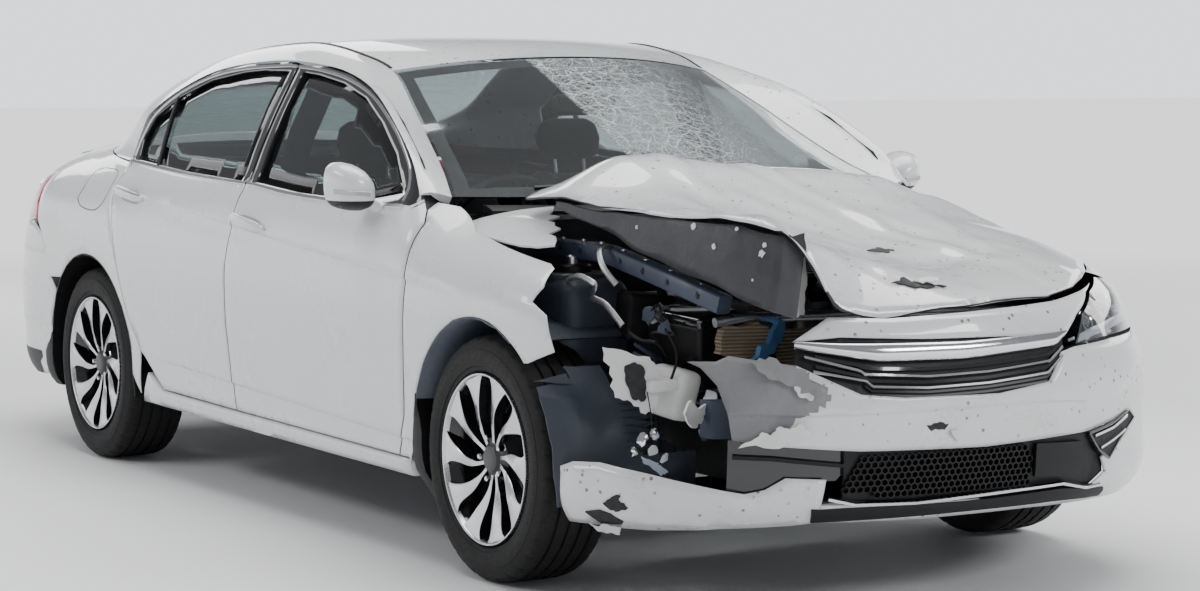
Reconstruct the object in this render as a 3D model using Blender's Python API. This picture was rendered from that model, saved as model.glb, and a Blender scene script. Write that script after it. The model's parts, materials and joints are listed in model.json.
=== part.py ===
"""A four-door saloon with its front right corner torn open: shell, hinged doors and lid, steered wheels.

Metres, +Z up, nose towards -Y. The origin lies on the ground below the middle of the car.
Side -1 is the car's right, side +1 its left.
"""
import math
import bmesh
import bpy
from mathutils import Vector
from mathutils.geometry import delaunay_2d_cdt

# running gear
WHEELBASE = 2.776
FRONT_AXLE = -1.4635
REAR_AXLE = FRONT_AXLE + WHEELBASE
TRACK = 1.585
TYRE_RADIUS = 0.3285
TYRE_WIDTH = 0.225
TYRE_WALL = 0.0975
RIM_RADIUS = 0.2285
RIM_WIDTH = 0.215
RIM_WALL = 0.010
HUB_RADIUS = 0.072
KINGPIN_OFFSET = 0.055
ARCH_CLEARANCE = 0.0500
ARCH_STEP = 12
LINER_WALL = 0.004
LINER_HOLE = 0.190
FRONT_LINER_FACE = 0.475
REAR_LINER_FACE = 0.600

# sheet and seams
SHEET = 0.0025
SHUT_LINE = 0.005
TOUCH = 0.0003
DOOR_DEPTH = 0.055
FRAME_DEPTH = 0.030
PILLAR_CLEARANCE = 0.035
PILLAR_DEPTH = 0.050
PLATE_TOUCH = 0.0009
GLASS = 0.004
BUMPER_WALL = 0.005
RAIL_DEPTH = 0.022
HINGE_INSET = 0.025

# cabin
FRAME_FOOT = 0.245
FLOOR_TOP = FRAME_FOOT - TOUCH
FLOOR_WALL = 0.008
FLOOR_HALF = 0.800
BOOT_FLOOR = 0.420
BULKHEAD = -1.0850
BULKHEAD_WALL = 0.0087
BULKHEAD_HALF = 0.765
BULKHEAD_TOP = 0.930
SEAT_WIDTH = 0.50
SEAT_OFFSET = 0.365
STEERING_WHEEL_RADIUS = 0.185
STEERING_RIM_RADIUS = 0.014
STEERING_CENTRE = (-0.365, -0.60, 0.86)
STEERING_TILT = 25
COLUMN_LENGTH = 0.1350

# height, half width of the body's flank
SIDE = [(0.18, 0.845), (0.235, 0.893), (0.29, 0.909), (0.42, 0.912), (0.60, 0.922), (0.72, 0.9245),
        (0.80, 0.920), (0.88, 0.908), (0.94, 0.893), (0.98, 0.876), (1.015, 0.852), (1.10, 0.822),
        (1.20, 0.782), (1.28, 0.743), (1.34, 0.712), (1.37, 0.698)]
# height, tip of the nose, where the plan starts to round, its power
NOSE = [(0.18, -2.33, -1.62, 2.4), (0.28, -2.42, -1.65, 2.5), (0.40, -2.44, -1.65, 2.45),
        (0.55, -2.4435, -1.65, 2.4), (0.67, -2.42, -1.60, 2.2), (0.79, -2.37, -1.52, 2.1),
        (0.90, -2.28, -1.40, 2.0), (1.0, -2.2, -1.3, 2.0)]
# height, end of the tail, where the plan starts to round, its power
TAIL = [(0.18, 2.30, 1.60, 2.6), (0.25, 2.40, 1.70, 2.7), (0.33, 2.43, 1.75, 2.8), (0.53, 2.4435, 1.75, 2.8),
        (0.75, 2.41, 1.72, 2.6), (0.95, 2.36, 1.62, 2.4), (1.05, 2.34, 1.55, 2.3)]
# station along the car, height of the bonnet's crown
HOOD = [(-2.44, 0.70), (-2.36, 0.765), (-2.2, 0.835), (-2.0, 0.885), (-1.78, 0.928), (-1.5, 0.970),
        (-1.22, 1.002), (-1.0, 1.02)]
# station along the car, height of the deck's crown
DECK = [(1.0, 1.13), (1.6, 1.108), (1.8, 1.100), (2.1, 1.086), (2.30, 1.070), (2.44, 1.045)]
FRONT_SHOULDER = 0.70
REAR_SHOULDER = 0.80
SHOULDER_POWER = 3.0
NOSE_CENTRE = -1.45
TAIL_CENTRE = 1.45

# window line and upper rail of one flank: D out, along, up, then E out, along, up
RAIL = [(0.838, -0.995, 1.004, 0.760, -1.035, 0.998),
        (0.812, -0.897, 1.100, 0.700, -0.870, 1.065),
        (0.777, -0.717, 1.203, 0.655, -0.700, 1.146),
        (0.738, -0.518, 1.286, 0.610, -0.510, 1.242),
        (0.712, -0.317, 1.334, 0.560, -0.290, 1.341),
        (0.702, -0.113, 1.359, 0.575, -0.100, 1.392),
        (0.697, 0.154, 1.371, 0.585, 0.150, 1.424),
        (0.700, 0.446, 1.361, 0.585, 0.450, 1.418),
        (0.711, 0.695, 1.333, 0.575, 0.720, 1.398),
        (0.736, 0.912, 1.275, 0.560, 0.990, 1.362),
        (0.766, 1.075, 1.204, 0.600, 1.200, 1.300),
        (0.786, 1.115, 1.152, 0.635, 1.500, 1.180)]
RAIL_BULGE = 0.020
RAIL_STEPS = 5
RAIL_LEAN = 0.45
# station along the car, height: the foot of the rear roof pillar
PILLAR_FOOT = [(1.125, 1.028), (1.300, 1.040), (1.470, 1.052), (1.640, 1.066), (1.770, 1.078)]
# row of the rail, then the middle of the sheet there: along, up
SCREEN = [(0, -1.245, 0.995), (1, -1.020, 1.098), (2, -0.810, 1.200), (3, -0.600, 1.298), (4, -0.400, 1.385)]
ROOF = [(4, -0.400, 1.386), (5, -0.120, 1.430), (6, 0.150, 1.446), (7, 0.450, 1.447), (8, 0.740, 1.430),
        (9, 1.020, 1.396)]
BACKLIGHT = [(9, 1.025, 1.394), (10, 1.240, 1.325), (11, 1.540, 1.215), (12, 1.830, 1.104)]
SHEET_POWER = 2.2
EDGE_GAP = 0.0008
WINDOW_GAP = 0.0042
LAMP_GAP = 0.0012

# door edges: along, up
FRONT_EDGE = [(-0.997, 0.286), (-1.035, 0.40), (-1.050, 0.60), (-1.056, 0.76), (-1.062, 0.86),
              (-1.066, 0.93), (-1.040, 0.965), (-1.000, 1.000)]
MIDDLE_EDGE = [(0.097, 0.295), (0.128, 0.380), (0.150, 0.558), (0.148, 0.735), (0.130, 0.860),
               (0.100, 0.985), (0.075, 1.180), (0.060, 1.355)]
REAR_EDGE = [(0.674, 0.302), (0.860, 0.411), (0.958, 0.520), (1.018, 0.640), (1.075, 0.781), (1.120, 0.880),
             (1.140, 0.940), (1.120, 1.015), (1.112, 1.110), (1.078, 1.190)]
TOP_EDGE = [(-0.897, 1.095), (-0.717, 1.198), (-0.518, 1.281), (-0.317, 1.329), (-0.113, 1.354)]
REAR_TOP_EDGE = [(0.154, 1.366), (0.446, 1.356), (0.695, 1.328), (0.912, 1.270)]
FRAME_GAP = 0.005
# window openings in the doors: along, up
FRONT_WINDOW = [(-0.900, 1.005), (-0.790, 1.110), (-0.640, 1.197), (-0.480, 1.264), (-0.300, 1.305),
                (-0.110, 1.328), (0.010, 1.336), (0.022, 1.180), (0.040, 1.000), (-0.285, 0.982),
                (-0.700, 0.975)]
REAR_WINDOW = [(0.110, 1.338), (0.300, 1.340), (0.446, 1.332), (0.680, 1.304), (0.880, 1.250), (1.030, 1.180),
               (1.070, 1.110), (1.060, 1.035), (0.600, 1.012), (0.150, 1.000), (0.128, 1.180)]
GLASS_INLAY = 0.010
FRONT_HINGE = (0.908, -1.005)
REAR_HINGE = (0.918, 0.155)
# hinge plate on the pillar behind each hinge line: reach back, width, foot, top
HINGE_PLATE = (0.031, 0.022, 0.46, 0.735)

# frame inside the doors: hinge pillar, sill, middle pillar and the wheelhouse's edge: along, up
FRAME_RIM = [(-1.0760, FRAME_FOOT), (0.800, FRAME_FOOT), (0.840, 0.36), (0.885, 0.48), (0.985, 0.64), (1.12, 0.735),
             (1.32, 0.775), (1.30, 0.95), (1.22, 0.99), (1.06, 0.98), (1.04, 0.86), (0.98, 0.72), (0.87, 0.62),
             (0.80, 0.48), (0.66, 0.37), (0.215, 0.37), (0.215, 0.84), (0.085, 0.95), (0.075, 1.00), (0.055, 1.315),
             (-0.035, 1.315), (-0.02, 0.95), (-0.01, 0.60), (-0.04, 0.37), (-0.950, 0.37), (-0.950, 0.84),
             (-1.01, 0.95), (-1.076, 0.95)]

# seized bonnet: out, along, from the left rear corner round the nose
BONNET = [(0.715, -1.125), (0.785, -1.24), (0.807, -1.40), (0.806, -1.67), (0.740, -1.93), (0.608, -2.10),
          (0.540, -2.165), (0.45, -2.235), (0.30, -2.310), (0.0, -2.360), (-0.25, -2.348), (-0.400, -2.318),
          (-0.430, -2.308), (-0.450, -2.300), (-0.490, -2.280), (-0.560, -2.14), (-0.630, -1.86), (-0.66, -1.66),
          (-0.66, -1.43), (-0.66, -1.27), (-0.60, -1.245), (-0.30, -1.30), (0.0, -1.315), (0.30, -1.30),
          (0.60, -1.225)]
BONNET_WALL = 0.006
# how far the seized bonnet is lifted: station along, then the lift at each place out
LIFT_PLACES = (-0.72, -0.50, -0.44, -0.37, 0.0, 0.30, 0.55, 0.80)
LIFT = [(-2.35, 0.20, 0.200, 0.12, 0.00, 0.00, 0.00, 0.00, 0.0),
        (-2.15, 0.20, 0.175, 0.15, 0.09, -0.01, -0.015, 0.00, 0.0),
        (-1.90, 0.145, 0.10, 0.085, 0.055, -0.01, -0.01, 0.00, 0.0),
        (-1.65, 0.085, 0.11, 0.105, 0.095, 0.055, 0.035, 0.01, 0.0),
        (-1.47, 0.050, 0.155, 0.155, 0.150, 0.105, 0.085, 0.045, 0.0),
        (-1.25, 0.035, 0.070, 0.080, 0.085, 0.070, 0.055, 0.02, 0.0)]
# torn inner frame that hangs below the bonnet's right edge: out, along, up, then drop
FLAP = [(-0.655, -1.43, 0.976, 0.016), (-0.655, -1.66, 0.988, 0.040), (-0.625, -1.86, 1.003, 0.095),
        (-0.560, -2.14, 1.018, 0.165), (-0.494, -2.258, 0.972, 0.190), (-0.451, -2.274, 0.925, 0.160)]
FLAP_WALL = 0.006
# upper edge of a front wing, behind the bonnet's rear corner: along, up
WING_CREST = [(-1.045, 0.985), (-1.100, 0.975)]
# out, along: the wing's edge beside the bonnet
BONNET_SIDE = [(0.793, -1.24), (0.815, -1.40), (0.814, -1.67)]
WING_TEAR = [(-1.70, 0.845), (-1.735, 0.80), (-1.725, 0.765), (-1.790, 0.735), (-1.810, 0.690), (-1.836, 0.648)]
# angle off the middle, height
LAMP = [(19.5, 0.652), (24.0, 0.722), (32.5, 0.770), (43.0, 0.795), (50.0, 0.785), (57.0, 0.740), (62.0, 0.672),
        (45.0, 0.664), (30.0, 0.662)]
LAMP_DEPTH = 0.070
BUMPER = [(65.5, 0.235), (45, 0.225), (30, 0.232), (10, 0.238), (-10, 0.238), (-27.0, 0.245), (-26.2, 0.292),
          (-10, 0.282), (11.6, 0.278), (22.9, 0.279), (25.7, 0.312), (24.4, 0.352), (32.3, 0.412),
          (31.5, 0.455), (21.0, 0.427), (0, 0.415), (-20.9, 0.424), (-32.8, 0.441), (-38.4, 0.456),
          (-39.0, 0.525), (-40.5, 0.589), (-42.9, 0.631), (-44.8, 0.644), (-40.8, 0.645), (-39.1, 0.659),
          (-34.8, 0.648), (-29.7, 0.636), (-20.7, 0.564), (-14.1, 0.552), (2.3, 0.548), (12.1, 0.567),
          (15.8, 0.637), (18.9, 0.646), (30, 0.653), (45, 0.655), (58, 0.650), (66.2, 0.638), (72.0, 0.604),
          (68.0, 0.50), (66.0, 0.40), (65.5, 0.33)]
TORN_CORNER = [(-65.2, 0.361), (-62.4, 0.378), (-57.8, 0.383), (-51.3, 0.368), (-42.7, 0.341), (-36.7, 0.323),
               (-34, 0.333), (-31.2, 0.362), (-25.6, 0.357), (-26.24, 0.292), (-27.04, 0.245), (-29.8, 0.239), (-37.6, 0.231), (-51, 0.215),
               (-60.2, 0.215), (-65.2, 0.215)]
GRILLE = [(-30.0, 0.630), (-21.5, 0.556), (-14.0, 0.542), (2.3, 0.538), (12.6, 0.556), (16.6, 0.634),
          (17.6, 0.680), (0, 0.700), (-23, 0.715), (-29.5, 0.705)]
GARNISH_FOOT = [(-30.2, 0.692), (-23.2, 0.702), (-10, 0.692), (5, 0.687), (17.4, 0.674), (22.5, 0.724),
                (31.0, 0.771)]
# bonnet's front edge above the garnish: out, along
BONNET_LIP = [(0.540, -2.165), (0.45, -2.235), (0.30, -2.310), (0.0, -2.360), (-0.25, -2.348), (-0.40, -2.318)]
LIP_GAP = 0.008
LOWER_GRILLE = [(-23.0, 0.286), (-10, 0.276), (11.6, 0.272), (22.6, 0.272), (25.6, 0.312), (24.4, 0.400),
                (20.5, 0.424), (0, 0.422), (-20.5, 0.430), (-23.0, 0.430)]
BEAM_FRONT = -2.33
BUMPER_PAD_FACE = -2.4364
BEAM_BOW = 0.20
BEAM_HALF = 0.62
BEAM_DEPTH = 0.05
RAIL_IN = 0.400
RAIL_OUT = 0.465
ENGINE_HALF = 0.330
ENGINE_SPAN = (-1.86, -1.34)
ARM_DEPTH = 0.022
ARM_HALF = 0.050
DISC_RADIUS = 0.155
FLAP_GAP = 0.0113
GRILLE_INLAY = 0.0083
GRILLE_WALL = 0.012

# boot lid: its front edge, the end of its deck, its foot, wall and half width
LID_FRONT = 1.872
LID_REAR_TOP = 2.300
LID_FOOT = 0.772
LID_WALL = 0.030
LID_HALF = 0.600
LID_TAPER = 0.070
BOOT_HINGE = (1.855, 1.030)
HINGE_REACH = 0.015
HINGE_WIDTH = 0.035
# along, up: the quarter's rear edge
QUARTER_BACK = [(1.778, 0.972), (1.790, 0.860), (1.795, 0.800), (1.745, 0.760), (1.705, 0.690), (1.665, 0.605)]
TAIL_LAMP = [(60.0, 0.970), (45.0, 0.965), (37.0, 0.960), (37.0, 0.790), (50.0, 0.795)]
REAR_BUMPER_TOP = [(67.0, 0.792), (50, 0.785), (34, 0.768), (15, 0.760), (0, 0.758)]
REAR_BUMPER_FOOT = [(73.6, 0.250), (60, 0.240), (30, 0.255), (0, 0.262)]


def smooth(rows, place, column=1):
    """Cubic through a column of the rows, flat beyond their ends."""
    if place <= rows[0][0]:
        return rows[0][column]
    if place >= rows[-1][0]:
        return rows[-1][column]
    low = max(k for k in range(len(rows) - 1) if rows[k][0] <= place)
    start, first = rows[low][0], rows[low][column]
    end, last = rows[low + 1][0], rows[low + 1][column]

    def slope(k):
        before, after = max(k - 1, 0), min(k + 1, len(rows) - 1)
        return (rows[after][column] - rows[before][column]) / (rows[after][0] - rows[before][0])

    span = end - start
    t = (place - start) / span
    return ((2 * t ** 3 - 3 * t * t + 1) * first + (t ** 3 - 2 * t * t + t) * span * slope(low)
            + (3 * t * t - 2 * t ** 3) * last + (t ** 3 - t * t) * span * slope(low + 1))


def ramp(start, end, value):
    t = min(max((value - start) / (end - start), 0.0), 1.0)
    return t * t * (3 - 2 * t)


def plan(y, z):
    """Share of the half width that is left where the nose or tail rounds off."""
    rows = NOSE if y < 0 else TAIL
    tip, start, power = (smooth(rows, z, column) for column in (1, 2, 3))
    t = (y - start) / (tip - start)
    if t <= 0:
        return 1.0
    return (1 - min(t, 1.0) ** power) ** (1 / power)


def shoulder(z, start, top):
    k = min(max((z - start) / max(top - start, 0.01), 0.0), 1.0)
    return smooth(SIDE, min(z, start)) * (1 - k ** SHOULDER_POWER) ** (1 / SHOULDER_POWER)


def half_width(y, z):
    narrowing = 1 - 0.025 * ramp(0.85, 1.05, z) * ((y - 0.1) / 1.1) ** 2
    width = smooth(SIDE, z) * narrowing
    if y < -0.95:
        share = ramp(-0.95, -1.30, y)
        width = width * (1 - share) + shoulder(z, FRONT_SHOULDER, smooth(HOOD, y)) * share
    if y > 1.15:
        share = ramp(1.15, 1.75, y)
        width = width * (1 - share) + shoulder(z, REAR_SHOULDER, smooth(DECK, y)) * share
    return width * plan(y, z)


def crown(x, y, start, top):
    """Height of the bonnet or deck above a spot in plan."""
    z = top
    for _ in range(4):
        width = smooth(SIDE, start) * plan(y, z)
        z = start + (top - start) * max(1 - (abs(x) / width) ** SHOULDER_POWER, 0.0) ** (1 / SHOULDER_POWER)
    return z


def flank(side):
    return lambda y, z: Vector((side * half_width(y, z), y, z))


def around(centre, forward):
    """Place on the nose or tail from the angle off the car's middle and the height."""
    def place(angle, z):
        turn = math.radians(angle)
        low, high = 0.0, 1.4
        for _ in range(40):
            reach = (low + high) / 2
            if reach * abs(math.sin(turn)) < half_width(centre + forward * reach * math.cos(turn), z):
                low = reach
            else:
                high = reach
        return Vector((low * math.sin(turn), centre + forward * low * math.cos(turn), z))
    return place


nose = around(NOSE_CENTRE, -1)
tail = around(TAIL_CENTRE, 1)


def bonnet_skin(x, y):
    z = crown(x, y, FRONT_SHOULDER, smooth(HOOD, y))
    across = [(out, smooth(LIFT, y, index + 1)) for index, out in enumerate(LIFT_PLACES)]
    return Vector((x, y, z + smooth(across, x)))


def deck_skin(x, y):
    return Vector((x, y, crown(x, y, REAR_SHOULDER, smooth(DECK, y))))


def material(name, colour, roughness, metallic):
    paint = bpy.data.materials.new(name)
    paint.use_nodes = True
    shader = paint.node_tree.nodes["Principled BSDF"]
    shader.inputs["Base Color"].default_value = (*colour, 1.0)
    shader.inputs["Roughness"].default_value = roughness
    shader.inputs["Metallic"].default_value = metallic
    paint.diffuse_color = (*colour, 1.0)
    return paint


WHITE = ((0.80, 0.80, 0.78), 0.3, 0.0)
DARK = ((0.03, 0.03, 0.035), 0.6, 0.0)
GLAZING = ((0.10, 0.14, 0.14), 0.05, 0.0)
RUBBER = ((0.02, 0.02, 0.02), 0.8, 0.0)
SILVER = ((0.62, 0.63, 0.65), 0.3, 1.0)
STEEL = ((0.25, 0.25, 0.27), 0.5, 1.0)
RED = ((0.45, 0.02, 0.02), 0.2, 0.0)
TRIM = ((0.10, 0.10, 0.11), 0.8, 0.0)
CLEAR = ((0.75, 0.77, 0.80), 0.1, 0.0)


def solid(name, points, faces, look, pivot=None, smooth_angle=35.0):
    """One closed body; its origin is the pivot that it turns on."""
    pivot = Vector(pivot) if pivot else Vector((0, 0, 0))
    mesh = bpy.data.meshes.new(name)
    mesh.from_pydata([Vector(point) - pivot for point in points], [], faces)
    work = bmesh.new()
    work.from_mesh(mesh)
    bmesh.ops.recalc_face_normals(work, faces=work.faces)
    if work.calc_volume(signed=True) < 0:
        bmesh.ops.reverse_faces(work, faces=work.faces)
    work.to_mesh(mesh)
    work.free()
    mesh.shade_smooth()
    mesh.set_sharp_from_angle(angle=math.radians(smooth_angle))
    body = bpy.data.objects.new(name, mesh)
    body.location = pivot
    bpy.context.scene.collection.objects.link(body)
    mesh.materials.append(material(name, *look))
    return body


def join(body, piece):
    """Weld a helper solid onto a body and hide the helper."""
    piece.hide_render = True
    piece.display_type = "WIRE"
    union = body.modifiers.new("weld", "BOOLEAN")
    union.operation = "UNION"
    union.solver = "EXACT"
    union.object = piece


def spaced(outline, cell):
    points = []
    for index, (u, v) in enumerate(outline):
        nu, nv = outline[(index + 1) % len(outline)]
        count = max(1, math.ceil(math.hypot(nu - u, nv - v) / cell))
        points += [(u + (nu - u) * k / count, v + (nv - v) * k / count) for k in range(count)]
    return points


def area(outline):
    return sum(a[0] * b[1] - b[0] * a[1] for a, b in zip(outline, outline[1:] + outline[:1])) / 2


def inset(outline, depth):
    """The outline moved inwards by the depth, along each corner's bisector."""
    turn = 1 if area(outline) > 0 else -1
    moved = []
    for index, point in enumerate(outline):
        before = outline[index - 1]
        after = outline[(index + 1) % len(outline)]
        normals = []
        for a, b in ((before, point), (point, after)):
            length = math.hypot(b[0] - a[0], b[1] - a[1])
            normals.append((-(b[1] - a[1]) / length * turn, (b[0] - a[0]) / length * turn))
        sx, sy = normals[0][0] + normals[1][0], normals[0][1] + normals[1][1]
        scale = 2 / max(sx * sx + sy * sy, 0.6)
        moved.append((point[0] + sx * scale * depth, point[1] + sy * scale * depth))
    return moved


def inside(point, outline):
    hit = False
    x, y = point
    for (ax, ay), (bx, by) in zip(outline, outline[1:] + outline[:1]):
        if (ay > y) != (by > y) and x < (bx - ax) * (y - ay) / (by - ay) + ax:
            hit = not hit
    return hit


def edge_distance(point, outline):
    best = 1e9
    for a, b in zip(outline, outline[1:] + outline[:1]):
        dx, dy = b[0] - a[0], b[1] - a[1]
        length = dx * dx + dy * dy
        t = min(max(((point[0] - a[0]) * dx + (point[1] - a[1]) * dy) / length, 0), 1) if length else 0
        best = min(best, math.hypot(point[0] - a[0] - t * dx, point[1] - a[1] - t * dy))
    return best


def flat_mesh(outline, holes, cell, stretch):
    """Triangles that fill the outline around its holes, and the edges of its rim."""
    scale = lambda loop: [(u * stretch, v) for u, v in loop]
    loops = [spaced(scale(loop), cell) for loop in [outline, *holes]]
    points, edges = [], []
    for loop in loops:
        start = len(points)
        points += loop
        edges += [(start + k, start + (k + 1) % len(loop)) for k in range(len(loop))]
    us = [point[0] for point in loops[0]]
    vs = [point[1] for point in loops[0]]
    columns = max(1, round((max(us) - min(us)) / cell))
    rows = max(1, round((max(vs) - min(vs)) / cell))
    for i in range(1, columns):
        for j in range(1, rows):
            spot = (min(us) + (max(us) - min(us)) * i / columns, min(vs) + (max(vs) - min(vs)) * j / rows)
            if not inside(spot, loops[0]) or any(inside(spot, loop) for loop in loops[1:]):
                continue
            if min(edge_distance(spot, loop) for loop in loops) > 0.45 * cell:
                points.append(spot)
    verts, _, faces, *_ = delaunay_2d_cdt([Vector(point) for point in points], edges, [], 0, 1e-6)

    def kept(face):
        middle = (sum(verts[k][0] for k in face) / len(face), sum(verts[k][1] for k in face) / len(face))
        return inside(middle, loops[0]) and not any(inside(middle, loop) for loop in loops[1:])

    faces = [face for face in faces if kept(face)]
    seen = {}
    for face in faces:
        for a, b in zip(face, list(face[1:]) + [face[0]]):
            seen[(a, b)] = True
    rim = [(a, b) for a, b in seen if (b, a) not in seen]
    return [(vert[0] / stretch, vert[1]) for vert in verts], [tuple(face) for face in faces], rim


def normal_at(place, u, v, step_u, step_v):
    du = place(u + step_u, v) - place(u - step_u, v)
    dv = place(u, v + step_v) - place(u, v - step_v)
    return du.cross(dv).normalized()


def panel(name, outline, place, depth, look, holes=(), cell=0.11, stretch=1.0, pivot=None, away=None,
          core=None, inlay=0.0):
    """A sheet on a surface: its outer face, and an inner face set in by the depth, straight or towards a core."""
    spots, faces, rim = flat_mesh(outline, list(holes), cell, stretch)
    thick = depth if callable(depth) else (lambda u, v: depth)
    outer, inner = [], []
    tiny = 1e-4
    for u, v in spots:
        here = place(u, v)
        inward = away if away else normal_at(place, u, v, tiny / stretch, tiny)
        if core and inward.dot(Vector(core) - here) < 0:
            inward = -inward
        outer.append(here + inward * inlay)
        inner.append(here + inward * (inlay + thick(u, v)))
    count = len(spots)
    shell = list(faces)
    shell += [tuple(index + count for index in reversed(face)) for face in faces]
    for a, b in rim:
        shell += [(b, a, a + count), (b, a + count, b + count)]
    return solid(name, outer + inner, shell, look, pivot)


def loft(name, rings, look, pivot=None, closed=False):
    """Bridge rings of equal length, with flat ends unless the loft closes on itself."""
    size = len(rings[0])
    points = [point for ring in rings for point in ring]
    faces = []
    last = len(rings) if closed else len(rings) - 1
    for r in range(last):
        a, b = r * size, ((r + 1) % len(rings)) * size
        for k in range(size):
            n = (k + 1) % size
            faces.append((a + k, a + n, b + n, b + k))
    if not closed:
        faces += [tuple(range(size)), tuple(range((len(rings) - 1) * size, len(rings) * size))]
    return solid(name, points, faces, look, pivot)


def turned(name, profile, centre, look, steps=32, pivot=None, sweep=360.0, start=0.0):
    """Turn a profile of (along x, radius) about the axis through the centre."""
    rings = []
    whole = abs(sweep - 360.0) < 1e-6
    for k in range(steps if whole else steps + 1):
        angle = math.radians(start + sweep * k / steps)
        rings.append([Vector((centre[0] + along, centre[1] + radius * math.cos(angle),
                              centre[2] + radius * math.sin(angle))) for along, radius in profile])
    return loft(name, rings, look, pivot, closed=whole)


def prism(name, outline, low, high, look, axis=0, pivot=None):
    """Push an outline along one axis; it lies in the other two, in order."""
    rings = []
    for level in (low, high):
        ring = []
        for a, b in outline:
            spot = [a, b]
            spot.insert(axis, level)
            ring.append(Vector(spot))
        rings.append(ring)
    return loft(name, rings, look, pivot)


def block(name, low, high, look, pivot=None):
    outline = [(low[1], low[2]), (high[1], low[2]), (high[1], high[2]), (low[1], high[2])]
    return prism(name, outline, low[0], high[0], look, 0, pivot)


def at_height(edge, z):
    """Where a door edge lies at a height."""
    rows = sorted((up, along) for along, up in edge)
    return smooth(rows, z)


def arch(axle, first, last, radius):
    """Points round a wheel arch on whole steps, from one angle to the other."""
    turns = range(first, last + 1, ARCH_STEP) if first < last else range(first, last - 1, -ARCH_STEP)
    angles = [math.radians(turn) for turn in turns]
    return [(axle + radius * math.cos(turn), TYRE_RADIUS + radius * math.sin(turn)) for turn in angles]



def rail_point(row, column):
    """A column of the rail at a whole or part row; the last row stands on the foot of the rear pillar."""
    foot = (half_width(*PILLAR_FOOT[0]), *PILLAR_FOOT[0], half_width(*PILLAR_FOOT[-1]), *PILLAR_FOOT[-1])
    rows = [(index, *values) for index, values in enumerate(RAIL + [foot])]
    return smooth(rows, row, column + 1)


def spanning(middle):
    """Surface between the two upper rails: u runs across from -1 to 1, v along the table from 0 to 1."""
    keyed = [(index / (len(middle) - 1), *values) for index, values in enumerate(middle)]

    def place(u, v):
        row, mid_y, mid_z = (smooth(keyed, v, column) for column in (1, 2, 3))
        out, edge_y, edge_z = (rail_point(row, column) for column in (3, 4, 5))
        share = abs(u) ** SHEET_POWER
        return Vector((u * out, mid_y + (edge_y - mid_y) * share, mid_z + (edge_z - mid_z) * share))
    return place


def rail_ring(row, side):
    """Section of the upper rail: outer face from the window line to the sheet's edge, then back inside."""
    low = Vector([rail_point(row, column) for column in (0, 1, 2)])
    high = Vector([rail_point(row, column) for column in (3, 4, 5)])
    table = SCREEN if row < 4 else ROOF if row < 9 else BACKLIGHT
    share = (row - table[0][0]) / (table[-1][0] - table[0][0])
    share = min(max(share, 0.02), 0.98)
    sheet = spanning(table)
    beside = normal_at(sheet, 0.985, share, 1e-4, 1e-4)
    if beside.dot(Vector((0, 0.3, 0.6)) - high) < 0:
        beside = -beside
    beside = (beside + Vector((RAIL_LEAN, 0, 0))).normalized()
    outer, inner = [], []
    foot = ramp(11, 12, row)
    for k in range(RAIL_STEPS):
        t = k / (RAIL_STEPS - 1)
        spot = low.lerp(high, t)
        spot += Vector((0.8, 0, 0.6)) * RAIL_BULGE * math.sin(math.pi * t)
        y, z = PILLAR_FOOT[k]
        spot = spot.lerp(Vector((half_width(y, z), y, z + EDGE_GAP)), foot)
        inward = Vector((-1, 0, 0)).lerp(beside, t).normalized()
        outer.append(spot)
        inner.append(spot + inward * RAIL_DEPTH)
    ring = outer + inner[::-1]
    return [Vector((side * point.x, point.y, point.z)) for point in ring]


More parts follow.
